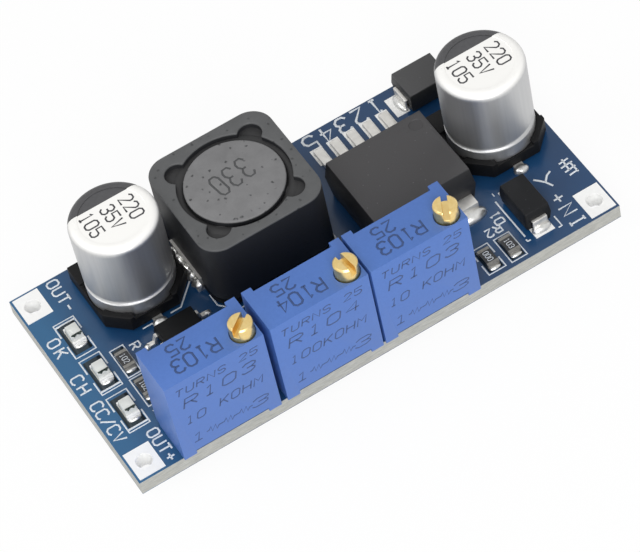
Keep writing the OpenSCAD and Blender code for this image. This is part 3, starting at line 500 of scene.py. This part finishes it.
# a rounded lip on each wire hole, and the plating that lines the hole
hole_x, hole_y = 22.65 * MM, 10.05 * MM
hole_r, lip_r, lip_lift = 0.75 * MM, 0.04 * MM, 0.02 * MM
plating_gap, plating_t = 0.01 * MM, 0.03 * MM
rings = []
for x, y in ((-hole_x, -hole_y), (hole_x, -hole_y), (-hole_x, hole_y), (hole_x, hole_y)):
    select_none()
    bpy.ops.mesh.primitive_torus_add(
        major_radius=hole_r + lip_r, minor_radius=lip_r, major_segments=40, minor_segments=8,
        location=(x, y, board_top + lip_lift))
    ring = bpy.context.object
    bpy.ops.object.transform_apply(location=True)
    rings.append(ring)
    select_none()
    bpy.ops.mesh.primitive_cylinder_add(
        radius=hole_r - plating_gap, depth=board_top, vertices=40, end_fill_type="NOTHING",
        location=(x, y, board_top / 2))
    barrel = bpy.context.object
    bpy.ops.object.transform_apply(location=True)
    bpy.ops.object.mode_set(mode="EDIT")
    bpy.ops.mesh.select_all(action="SELECT")
    bpy.ops.mesh.solidify(thickness=plating_t)
    bpy.ops.object.mode_set(mode="OBJECT")
    rings.append(barrel)
hole_plating = join_pieces(rings, "hole_plating")
bpy.ops.object.shade_smooth_by_angle(angle=math.radians(40))
finish_piece(hole_plating, tin, "tinned_copper")


# ---- Solder ----
# Tin solder that was reflowed: it climbs the lead tips and the part ends as bright,
# uneven mounds that are pulled smooth by their own surface.
# frosty patches where it set last, 0.35 mm across
solder = grained_material(
    "reflowed_solder", (0.35, "C4C4C1", "F6F6F4", 0.35, 0.2, 0.45), "E4E4E2", 0.28, 0.9)
dress(solder, "pin_solder")

lumps = bpy.data.textures.new("solder_lumps", "CLOUDS")
lumps.noise_scale = 0.5 * MM


def solder_dome(x, y, z, length, width, height, lumpy=0.14):
    """Half of a flattened, slightly lumpy ball, its place and sizes in millimetres."""
    select_none()
    bpy.ops.mesh.primitive_uv_sphere_add(segments=20, ring_count=12, radius=1.0)
    dome = bpy.context.object
    bpy.ops.object.mode_set(mode="EDIT")
    bpy.ops.mesh.select_all(action="SELECT")
    bpy.ops.mesh.bisect(plane_co=(0, 0, 0), plane_no=(0, 0, 1), use_fill=True, clear_inner=True)
    bpy.ops.object.mode_set(mode="OBJECT")
    dome.scale = (length / 2 * MM, width / 2 * MM, height * MM)
    dome.location = (x * MM, y * MM, z * MM)
    bpy.ops.object.transform_apply(location=True, rotation=False, scale=True)
    wavy = dome.modifiers.new("wavy", "DISPLACE")
    wavy.texture = lumps
    wavy.strength = lumpy * MM
    wavy.mid_level = 0.6
    bpy.ops.object.modifier_apply(modifier=wavy.name)
    bpy.ops.object.shade_smooth()
    return dome


top = board_top / MM
foot = top - 0.02
domes = []
# lamps and chip resistors, both ends
lamp_x, lamp_ys, lamp_end = -21.15, (-4.7, 0.1, 4.9), 1.1
chip_places, chip_end = ((-18.9, -0.1), (-18.9, -3.6), (11.9, -9.85), (14.1, -9.8)), 1.05
for x, y, end, width in [(lamp_x, y, lamp_end, 1.25) for y in lamp_ys] + [
        (x, y, chip_end, 1.15) for x, y in chip_places]:
    for side in (-1, 1):
        domes.append(solder_dome(x, y + side * end, foot, width, 0.5, 0.22, 0.06))
# can capacitors, at the tips of both leads
for leads in ("output_capacitor_leads", "input_capacitor_leads"):
    low, high = box_mm(leads)
    for tip in (low.y, high.y):
        domes.append(solder_dome((low.x + high.x) / 2, tip, foot, 1.5, 1.1, 0.5))
# regulator leads and the front edge of its tab
low, high = box_mm("regulator_leads")
for number in range(5):
    domes.append(solder_dome(
        lead_mid + (number - 2) * lead_pitch, high.y - 0.1, foot, 1.0, 0.9, 0.3, 0.1))
low, high = box_mm("regulator_tab")
for share in (0.1, 0.35, 0.62, 0.9):
    domes.append(solder_dome(
        low.x + share * (high.x - low.x), low.y - 0.1, foot, 3.0, 1.7, 0.75))
# both rectifiers
low, high = box_mm("catch_rectifier_leads")
for tip in (low.x, high.x):
    domes.append(solder_dome(tip, (low.y + high.y) / 2, foot, 1.1, 2.3, 0.5))
low, high = box_mm("input_rectifier_leads")
for tip in (low.y, high.y):
    domes.append(solder_dome((low.x + high.x) / 2, tip, foot, 1.9, 1.1, 0.55))
# amplifier feet
foot_pitch = 1.27
low, high = box_mm("amplifier_leads")
for tip in (low.x, high.x):
    for number in range(4):
        domes.append(solder_dome(
            tip, (low.y + high.y) / 2 + (number - 1.5) * foot_pitch, foot, 0.7, 0.62, 0.28))
# coil terminals: a rough seam along each, which lies a little above the board
low, high = box_mm("inductor_terminals")
for tip in (low.x + 0.3, high.x - 0.3):
    for share in (0.1, 0.3, 0.5, 0.7, 0.9):
        domes.append(solder_dome(
            tip, low.y + share * (high.y - low.y), top + 0.2, 1.0, 1.5, 1.0, 0.7))
solder_mounds = join_pieces(domes, "solder_mounds")
finish_piece(solder_mounds, solder, "solder", "module", "solder_joints")


# ---- Can capacitors ----
# Drawn aluminium cans with a rolled bead, their tops lacquered white with a black sector at
# the negative side and printed values, on square bases of moulded black plastic.
def rounded_copy(node, name, radius, sharp=35, segments=3, above=None):
    """A copy of a CAD piece with its loose triangles merged and its sharp edges rounded."""
    piece = bpy.data.objects.new(name, nodes[node].data.copy())
    bpy.context.scene.collection.objects.link(piece)
    make_active(piece)
    bpy.ops.object.mode_set(mode="EDIT")
    bpy.ops.mesh.select_mode(type="EDGE")
    bpy.ops.mesh.select_all(action="SELECT")
    bpy.ops.mesh.remove_doubles(threshold=0.002 * MM)
    bpy.ops.mesh.dissolve_limited(angle_limit=math.radians(1))
    bpy.ops.mesh.select_all(action="DESELECT")
    bpy.ops.mesh.edges_select_sharp(sharpness=math.radians(sharp))
    if above is not None:
        shape = bmesh.from_edit_mesh(piece.data)
        for edge in shape.edges:
            if min(vert.co.z for vert in edge.verts) < above:
                edge.select = False
        bmesh.update_edit_mesh(piece.data)
    bpy.ops.mesh.bevel(offset=radius * MM, offset_type="OFFSET", segments=segments,
                       profile=0.5, affect="EDGES", clamp_overlap=True)
    bpy.ops.object.mode_set(mode="OBJECT")
    bpy.ops.object.shade_smooth_by_angle(angle=math.radians(32))
    return piece


# moulded skin with a fine spark-eroded grain, drawn at 0.2 mm so that it shows
base_plastic = grained_material(
    "moulded_black_pps", (0.2, "060607", "0E0E10", 0.2, 0.5, 0.65), "1B1C1E", 0.5,
    Specular_IOR_Level=0.25)
# pad-printed ink, thinner and thicker at 0.2 mm
can_ink = grained_material(
    "black_can_ink", (0.2, "2C2C30", "48484C", 0.1, 0.45, 0.6), "333338", 0.5)
# depths below the top where the lacquer starts and is full and where the sector ends, and
# the distance of the sector's chord from the middle
lacquer_start, lacquer_full, sector_depth, chord = 0.5 * MM, 0.15 * MM, 0.42 * MM, 1.8 * MM
for cap in ("output", "input"):
    low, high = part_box(cap + "_capacitor_can")
    middle = (low + high) / 2
    metal, tree, shader, place = new_material(
        "drawn_aluminium_" + cap + "_can", "D4D5D7", 0.42, 1.0)
    # drawing marks run up the wall, 0.25 mm apart
    streak_place = add_node(tree, "ShaderNodeMapping", {
        "Scale": (per_mm(0.25), per_mm(0.25), per_mm(12))}, {"Vector": place})
    streaks = add_node(tree, "ShaderNodeTexNoise", {"Scale": 1.0, "Detail": 3}, {
        "Vector": streak_place.outputs[0]}).outputs["Fac"]
    wall_gloss = add_node(tree, "ShaderNodeMapRange", {"To Min": 0.4, "To Max": 0.46}, {
        "Value": streaks})
    wall_tint = add_node(tree, "ShaderNodeMix", {6: linear("BCBDBE"), 7: linear("CFCFCF")}, {
        0: streaks}, data_type="RGBA")
    # white lacquer on the top face and over the shoulder
    parts = add_node(tree, "ShaderNodeSeparateXYZ", links={"Vector": place})
    lacquered = add_node(tree, "ShaderNodeMapRange", {
        "From Min": high.z - lacquer_start, "From Max": high.z - lacquer_full}, {
        "Value": parts.outputs["Z"]}).outputs[0]
    # black sector behind the chord
    behind = add_node(tree, "ShaderNodeMath", {1: middle.y + chord}, {
        0: parts.outputs["Y"]}, operation="GREATER_THAN")
    above = add_node(tree, "ShaderNodeMath", {1: high.z - sector_depth}, {
        0: parts.outputs["Z"]}, operation="GREATER_THAN")
    inked = add_node(tree, "ShaderNodeMath", links={
        0: behind.outputs[0], 1: above.outputs[0]}, operation="MULTIPLY").outputs[0]
    white = add_node(tree, "ShaderNodeMix", {7: linear("F8F7F4")}, {
        0: lacquered, 6: wall_tint.outputs[2]}, data_type="RGBA")
    # the ink has pinholes and thin spots, 0.3 mm across
    spots = add_node(tree, "ShaderNodeTexNoise", {"Scale": per_mm(0.3), "Detail": 5}, {
        "Vector": place})
    sector = add_node(tree, "ShaderNodeMix", {6: linear("434344"), 7: linear("535356")}, {
        0: spots.outputs["Fac"]}, data_type="RGBA")
    final_tint = add_node(tree, "ShaderNodeMix", links={
        0: inked, 6: white.outputs[2], 7: sector.outputs[2]}, data_type="RGBA")
    tree.links.new(final_tint.outputs[2], shader.inputs["Base Color"])
    coated = add_node(tree, "ShaderNodeMath", links={0: lacquered, 1: inked}, operation="MAXIMUM")
    bare = add_node(tree, "ShaderNodeMapRange", {"To Min": 0.9, "To Max": 0.0}, {
        "Value": coated.outputs[0]})
    tree.links.new(bare.outputs[0], shader.inputs["Metallic"])
    gloss = add_node(tree, "ShaderNodeMix", {3: 0.42}, {
        0: coated.outputs[0], 2: wall_gloss.outputs[0]}, data_type="FLOAT")
    tree.links.new(gloss.outputs[0], shader.inputs["Roughness"])
    dress(metal, cap + "_capacitor_can")

    base = rounded_copy(cap + "_capacitor_base", cap + "_base_moulding", 0.08)
    finish_piece(base, base_plastic, "base_plastic", "module", cap + "_capacitor_base")

    face_z = high.z - 0.05 * MM
    rows = (("220", 1.85, -0.1), ("35V", 0.0, -0.1), ("105", -1.9, 0.2))
    marks = [lettering(words, (middle.x / MM + row, middle.y / MM + shift), face_z,
                       cap=1.25, turn=-90, advance=0.95, wide=0.68, line=0.17)
             for words, row, shift in rows]
    value = join_pieces(marks, cap + "_can_value")
    finish_piece(value, can_ink, "can_aluminium")

# electroplated tin: a cloudy, slightly yellow skin, its spots about 0.5 mm across
lead_tin = grained_material(
    "matt_tin_plating", (0.5, "D2D0CA", "F6F4F0", 0.2, 0.3, 0.5), "E9E7E2", 0.38, 0.8)
dress(lead_tin, "output_capacitor_leads", "input_capacitor_leads")


# ---- Coil ----
# A pressed and sintered ferrite ring round a drum core. Both are ground flat on top, which
# leaves them grey and pitted, while the sides keep the black skin of the kiln.
coil_low, coil_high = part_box("inductor_shield")


def ground_ferrite(name, dark, light, top_z):
    """Ferrite whose face at top_z is ground and pitted, and whose sides are as fired."""
    made, tree, shader, place = new_material(name, light, 0.55)
    grain = add_node(tree, "ShaderNodeTexNoise", {
        "Scale": per_mm(1.5), "Detail": 8, "Roughness": 0.65}, {"Vector": place})
    tint = add_node(tree, "ShaderNodeMix", {6: linear(dark), 7: linear(light)}, {
        0: grain.outputs["Fac"]}, data_type="RGBA")
    # pits torn out by grinding, up to 0.3 mm across and about 0.75 mm apart
    warp = add_node(tree, "ShaderNodeTexNoise", {"Scale": per_mm(0.3)}, {"Vector": place})
    warp_reach = 0.0003
    warped = add_node(tree, "ShaderNodeMix", {0: warp_reach}, {
        4: place, 5: warp.outputs["Color"]}, data_type="VECTOR")
    pits = add_node(tree, "ShaderNodeTexVoronoi", {"Scale": per_mm(0.75)}, {
        "Vector": warped.outputs[1]})
    pit_mask = add_node(tree, "ShaderNodeMapRange", {
        "From Min": 0.1, "From Max": 0.22, "To Min": 1.0, "To Max": 0.0}, {
        "Value": pits.outputs["Distance"]})
    pitted = add_node(tree, "ShaderNodeMix", {7: linear("3A3B3C")}, {
        0: pit_mask.outputs[0], 6: tint.outputs[2]}, data_type="RGBA")
    parts = add_node(tree, "ShaderNodeSeparateXYZ", links={"Vector": place})
    ground = add_node(tree, "ShaderNodeMapRange", {
        "From Min": top_z - 0.2 * MM, "From Max": top_z - 0.12 * MM}, {
        "Value": parts.outputs["Z"]})
    final_tint = add_node(tree, "ShaderNodeMix", {6: linear("1C1D20")}, {
        0: ground.outputs[0], 7: pitted.outputs[2]}, data_type="RGBA")
    tree.links.new(final_tint.outputs[2], shader.inputs["Base Color"])
    height = add_node(tree, "ShaderNodeMath", links={
        0: grain.outputs["Fac"], 1: pit_mask.outputs[0]}, operation="SUBTRACT")
    bump = add_node(tree, "ShaderNodeBump", {"Strength": 0.3, "Distance": 0.04 * MM}, {
        "Height": height.outputs[0]})
    tree.links.new(bump.outputs[0], shader.inputs["Normal"])
    return made


drum_low, drum_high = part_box("inductor_drum")
ring_ferrite = ground_ferrite("ground_ferrite_ring", "494A4B", "5E5F60", coil_high.z)
drum_ferrite = ground_ferrite("ground_ferrite_drum", "646465", "858586", drum_high.z)
shield = rounded_copy("inductor_shield", "ferrite_ring", 0.15)
finish_piece(shield, ring_ferrite, "ferrite", "module", "inductor_shield")
drum = rounded_copy("inductor_drum", "ferrite_drum", 0.14)
finish_piece(drum, drum_ferrite, "ferrite", "module", "inductor_drum")

# epoxy glue that fills the gap and the four recesses to just under the top, wavy at 0.6 mm
glue = grained_material(
    "filled_epoxy_glue", (0.6, "222223", "343435", 0.3, 0.5, 0.7), "2B2B2C", 0.6)
glue_t, glue_z = 0.5 * MM, coil_high.z - 0.8 * MM
recess_off, recess_r, recess_drop = 4.2, 1.4 * MM, 0.06 * MM
glue_mid = (drum_low + drum_high) / 2 / MM
glue_in = (drum_high.x - drum_low.x) / 2 / MM - 0.1
glue_out = (coil_high.x - coil_low.x) / 2 / MM - 0.3
glue_r = (glue_in + glue_out) / 2
circle = [(glue_mid.x + glue_r * math.cos(math.radians(angle)),
           glue_mid.y + glue_r * math.sin(math.radians(angle))) for angle in range(0, 360, 6)]
glue_parts = [ink_lines([circle], glue_z, (glue_out - glue_in) * MM, True, glue_t)]
for across in (-1, 1):
    for along in (-1, 1):
        select_none()
        bpy.ops.mesh.primitive_cylinder_add(
            vertices=32, radius=recess_r, depth=glue_t, end_fill_type="TRIFAN",
            location=((glue_mid.x + across * recess_off) * MM,
                      (glue_mid.y + along * recess_off) * MM, glue_z - recess_drop))
        recess_fill = bpy.context.object
        bpy.ops.object.transform_apply(location=True)
        glue_parts.append(recess_fill)
glue_ring = join_pieces(glue_parts, "ring_glue")
finish_piece(glue_ring, glue, "ferrite")

coil_mid = (coil_low + coil_high) / 2 / MM
# the laser scorches the ferrite unevenly, 0.15 mm across
coil_ink = grained_material(
    "burnt_laser_mark", (0.15, "303132", "5A5B5C", 0.2, 0.6, 0.8), "3A3B3C", 0.7)
coil_value = lettering("330", (coil_mid.x + 0.05, coil_mid.y + 0.5), drum_high.z,
                       cap=2.3, turn=188, advance=1.4, wide=0.9, line=0.2)
coil_value.name = "coil_value"
finish_piece(coil_value, coil_ink, "ferrite")

# enamel that runs thicker and thinner along the wire, 0.4 mm
enamel = grained_material(
    "polyurethane_enamelled_copper", (0.4, "7A3416", "A5522A", 0.1, 0.25, 0.4),
    "8C3F1C", 0.3, 0.6, Coat_Weight=0.6)
dress(enamel, "inductor_winding")
dress(base_plastic, "inductor_base")
dress(lead_tin, "inductor_terminals")


# ---- Regulator, rectifiers and amplifier ----
# Dies and their leads moulded into epoxy filled with silica, which gives a matt, speckled
# dark skin. The leads are punched from copper, bent and plated with tin.
def epoxy(name, dark, light, speck, side, shine, top_z):
    """Moulding compound: the top in paler tints with specks of filler, the sides in the side
    colour; where the sides are darker, the paler top is partly painted highlight and the sides
    partly painted shade.
    """
    made, tree, shader, place = new_material(name, dark, 0.5, Specular_IOR_Level=shine)
    tint = mottle(tree, shader, place, 0.12, dark, light, 0.3, 0.42, 0.6)
    # specks of filler, 0.1 mm across
    cells = add_node(tree, "ShaderNodeTexVoronoi", {"Scale": per_mm(0.8)}, {"Vector": place})
    specks = add_node(tree, "ShaderNodeMapRange", {
        "From Min": 0.04, "From Max": 0.09, "To Min": 0.6, "To Max": 0.0}, {
        "Value": cells.outputs["Distance"]})
    speckled = add_node(tree, "ShaderNodeMix", {7: linear(speck)}, {
        0: specks.outputs[0], 6: tint.outputs[2]}, data_type="RGBA")
    parts = add_node(tree, "ShaderNodeSeparateXYZ", links={"Vector": place})
    # the top takes the paler speckled tint and the sides the side colour, partly painted shade on
    # the grey parts
    on_top = add_node(tree, "ShaderNodeMapRange", {
        "From Min": top_z - 0.18 * MM, "From Max": top_z - 0.06 * MM}, {
        "Value": parts.outputs["Z"]})
    final_tint = add_node(tree, "ShaderNodeMix", {6: linear(side)}, {
        0: on_top.outputs[0], 7: speckled.outputs[2]}, data_type="RGBA")
    tree.links.new(final_tint.outputs[2], shader.inputs["Base Color"])
    return made


# tints: top dark and light, filler specks, sides, shine; the darker sides of the regulator and
# catch rectifier are partly painted shade, their paler tops partly painted highlight
for node, name, radius, tints in (
    ("regulator_body", "regulator_moulding", 0.07,
     ("3A393B", "454445", "6B6A6B", "1E1E20", 0.5)),
    ("catch_rectifier_body", "catch_rectifier_moulding", 0.06,
     ("3B3B3C", "474748", "6B6A6B", "161718", 0.5)),
    ("input_rectifier_body", "input_rectifier_moulding", 0.06,
     ("101113", "18191C", "3C3D40", "101113", 0.25)),
    ("amplifier_body", "amplifier_moulding", 0.05,
     ("090A0B", "101113", "3C3D40", "0B0C0E", 0.2)),
):
    moulding = rounded_copy(node, name, radius)
    compound = epoxy("silica_filled_epoxy_" + node, *tints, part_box(node)[1].z)
    finish_piece(moulding, compound, "moulding_compound", "module", node)
for node, name in (("regulator_leads", "regulator_bent_leads"),
                   ("regulator_tab", "regulator_heat_tab"),
                   ("catch_rectifier_leads", "catch_rectifier_straps"),
                   ("input_rectifier_leads", "input_rectifier_straps")):
    leads = rounded_copy(node, name, 0.04, segments=2)
    finish_piece(leads, lead_tin, "tinned_lead", "module", node)
dress(lead_tin, "amplifier_leads")


# ---- Lamps ----
# Surface-mounted light diodes: a white base with plated ends and a clear epoxy block over
# the plate that carries the die. Dark green bars mark the cathode.
# resin with glass cloth in it, cloudy at 0.3 mm
lamp_white = grained_material(
    "white_bt_resin_base", (0.3, "D2CFC0", "EFEEE6", 0.1, 0.35, 0.5), "E4E2D6", 0.4)
dress(lamp_white, "lamp_bases")
clear_epoxy, clear_tree, clear_shader, clear_place = new_material(
    "clear_cast_epoxy", "F4F6F2", 0.12, Transmission_Weight=0.3, IOR=1.5)
# the cast block is clearer and duller in patches, 0.5 mm across
clear_cloud = add_node(clear_tree, "ShaderNodeTexNoise", {"Scale": per_mm(0.5)}, {
    "Vector": clear_place})
clear_gloss = add_node(clear_tree, "ShaderNodeMapRange", {"To Min": 0.08, "To Max": 0.22}, {
    "Value": clear_cloud.outputs["Fac"]})
clear_tree.links.new(clear_gloss.outputs[0], clear_shader.inputs["Roughness"])
lenses = rounded_copy("lamp_lenses", "lamp_lens_blocks", 0.06)
finish_piece(lenses, clear_epoxy, "lamp_lens", "module", "lamp_lenses")
dress(tin, "lamp_terminals")
lens_top = box_mm("lamp_lenses")[1].z
plate_z = (box_mm("lamp_bases")[1].z + 0.02) * MM
# brushed paint, uneven at 0.2 mm
cathode_paint = grained_material(
    "dark_green_cathode_paint", (0.2, "18241F", "2A3A35", 0.1, 0.35, 0.5), "1E2C28", 0.4)
cathode_marks, die_plates = [], []
for lamp_y in lamp_ys:
    cathode_marks.append(ink_lines([
        [(lamp_x - 0.5, lamp_y - 0.62), (lamp_x + 0.5, lamp_y - 0.62)],
        [(lamp_x - 0.35, lamp_y - 0.8), (lamp_x - 0.1, lamp_y - 0.62)],
        [(lamp_x + 0.35, lamp_y - 0.8), (lamp_x + 0.1, lamp_y - 0.62)]],
        lens_top * MM, 0.22 * MM, thickness=0.02 * MM))
    die_plates.append(ink_lines([[(lamp_x, lamp_y), (lamp_x, lamp_y + 0.5)]], plate_z,
                                0.7 * MM, thickness=0.05 * MM))
all_marks = join_pieces(cathode_marks, "cathode_marks")
finish_piece(all_marks, cathode_paint, "lamp_base")
all_plates = join_pieces(die_plates, "lamp_die_plates")
finish_piece(all_plates, tin, "lamp_base")


# ---- Chip resistors ----
# Alumina chips, here wholly under their black glaze, plated round both ends and marked
# with three-digit codes.
# glaze that pooled as it was fired, 0.3 mm across
glaze = grained_material(
    "black_resistor_glaze", (0.3, "121315", "222427", 0.1, 0.25, 0.4), "0E0E10", 0.3,
    Coat_Weight=0.3)
dress(glaze, "chip_resistor_bodies")
# tin plating drawn dark grey and dull, patchy at 0.3 mm across
dull_tin = grained_material(
    "dark_grey_tin_plating", (0.3, "6E6C68", "A8A6A1", 0.2, 0.4, 0.6), "8B8985", 0.5, 0.7)
dress(dull_tin, "chip_resistor_ends")
chip_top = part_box("chip_resistor_bodies")[1].z
chip_codes = join_pieces([
    lettering(code, place, chip_top, cap=0.5, turn=-90, advance=0.38, wide=0.26, line=0.07)
    for code, place in zip(("102", "102", "000", "103"), chip_places)], "chip_codes")
finish_piece(chip_codes, print_ink, "resistor_glaze")


# ---- Trimmers ----
# Three multi-turn trimmers: a satin blue moulding, stamped with plain numbers, in which a
# brass screw with a worm turns the rotor. The open back is cast full of resin.
# satin skin of the mould, 0.25 mm
trimmer_blue = grained_material(
    "moulded_blue_polyester", (0.25, "466BB0", "4F74BB", 0.15, 0.36, 0.5), "4B6FB4", 0.42)
# rubber-stamped ink, uneven at 0.2 mm
stamp_ink = grained_material(
    "dark_blue_stamp_ink", (0.2, "243A6D", "3B5582", 0.1, 0.45, 0.6), "273F72", 0.5)
# turned brass with slight tarnish, 0.3 mm
brass = grained_material(
    "turned_brass", (0.3, "E9C67A", "FBE4A6", 0.2, 0.24, 0.4), "F4D992", 0.3, 0.95)
# how far the print on an upright face stands out of it
proud = 0.006 * MM
trimmers = ("current", "charge", "voltage")


def front_lettering(words, centre_x, centre_z, face_y, cap, advance, wide, line):
    """Slanted words on an upright face that looks to the front."""
    text = lettering(words, (0, 0), 0, cap, 0, advance, wide, line, 0.25)
    text.data.transform(Matrix.Rotation(math.radians(90), 4, "X"))
    text.data.transform(Matrix.Translation((
        centre_x * MM, face_y * MM + ink_t / 2 - proud, centre_z * MM)))
    return text


for trimmer, code, resistance in zip(
        trimmers, ("103", "104", "103"), ("10 KOHM", "100KOHM", "10 KOHM")):
    housing_name = trimmer + "_trimmer_housing"
    low, high = box_mm(housing_name)
    middle = (low + high) / 2
    housing = rounded_copy(housing_name, trimmer + "_trimmer_moulding", 0.09)
    finish_piece(housing, trimmer_blue, "trimmer_plastic", "module", housing_name)
    # on top, read from the back: place and size of both rows
    marks = [
        lettering("R" + code, (low.x + 3.95, low.y + 1.5), high.z * MM,
                  cap=1.4, turn=180, advance=1.15, wide=0.85, line=0.21),
        lettering("25", (low.x + 3.15, low.y + 3.2), high.z * MM,
                  cap=1.2, turn=180, advance=1.15, wide=0.8, line=0.2),
    ]
    # in front: words, depth below the top, cap, advance, width and line of each row
    for words, depth, cap, advance, wide, line in (
            ("TURNS 25", 1.35, 0.8, 1.02, 0.7, 0.22), ("R" + code, 3.0, 1.15, 1.85, 1.25, 0.28),
            (resistance, 5.3, 0.95, 1.1, 0.78, 0.23), ("1www3", 8.0, 1.0, 1.5, 1.5, 0.22)):
        marks.append(front_lettering(
            words, middle.x, high.z - depth, low.y, cap, advance, wide, line))
    stamp = join_pieces(marks, trimmer + "_trimmer_stamp")
    finish_piece(stamp, stamp_ink, "trimmer_plastic")

    screw_name = trimmer + "_trimmer_screw"
    screw = rounded_copy(screw_name, trimmer + "_adjusting_screw", 0.05, sharp=40,
                         above=high.z * MM + 0.1 * MM)
    finish_piece(screw, brass, "screw_brass", trimmer + "_screw", screw_name)

# moulded rubber, its bloom 0.1 mm across
rubber = grained_material(
    "nitrile_rubber", (0.1, "101010", "1E1E1E", 0.2, 0.6, 0.8), "151515", 0.7)
# flow marks in the moulded nylon, 0.3 mm
nylon = grained_material(
    "moulded_natural_nylon", (0.3, "DDD6C0", "EEE9D8", 0.1, 0.4, 0.55), "E6E0CC", 0.45,
    Subsurface_Weight=0.1)
# rolling marks in the spring strip, 0.3 mm
bronze = grained_material(
    "rolled_phosphor_bronze", (0.3, "B97F47", "D9A267", 0.1, 0.24, 0.4), "C98F55", 0.3, 1.0)
# grains of the fired body, 0.1 mm
alumina = grained_material(
    "fired_alumina", (0.1, "E2E0D9", "F4F3EF", 0.2, 0.5, 0.7), "ECEAE4", 0.6)
# waves of the cast surface, 1.2 mm
resin = grained_material(
    "cast_blue_epoxy", (1.2, "38599C", "4A6EB5", 0.4, 0.18, 0.35), "3F62A8", 0.25)
for trimmer in trimmers:
    dress(rubber, trimmer + "_trimmer_seal")
    dress(nylon, trimmer + "_trimmer_rotor")
    dress(bronze, trimmer + "_trimmer_wiper")
    dress(alumina, trimmer + "_trimmer_element")
    dress(resin, trimmer + "_trimmer_potting")
    dress(lead_tin, trimmer + "_trimmer_pins")
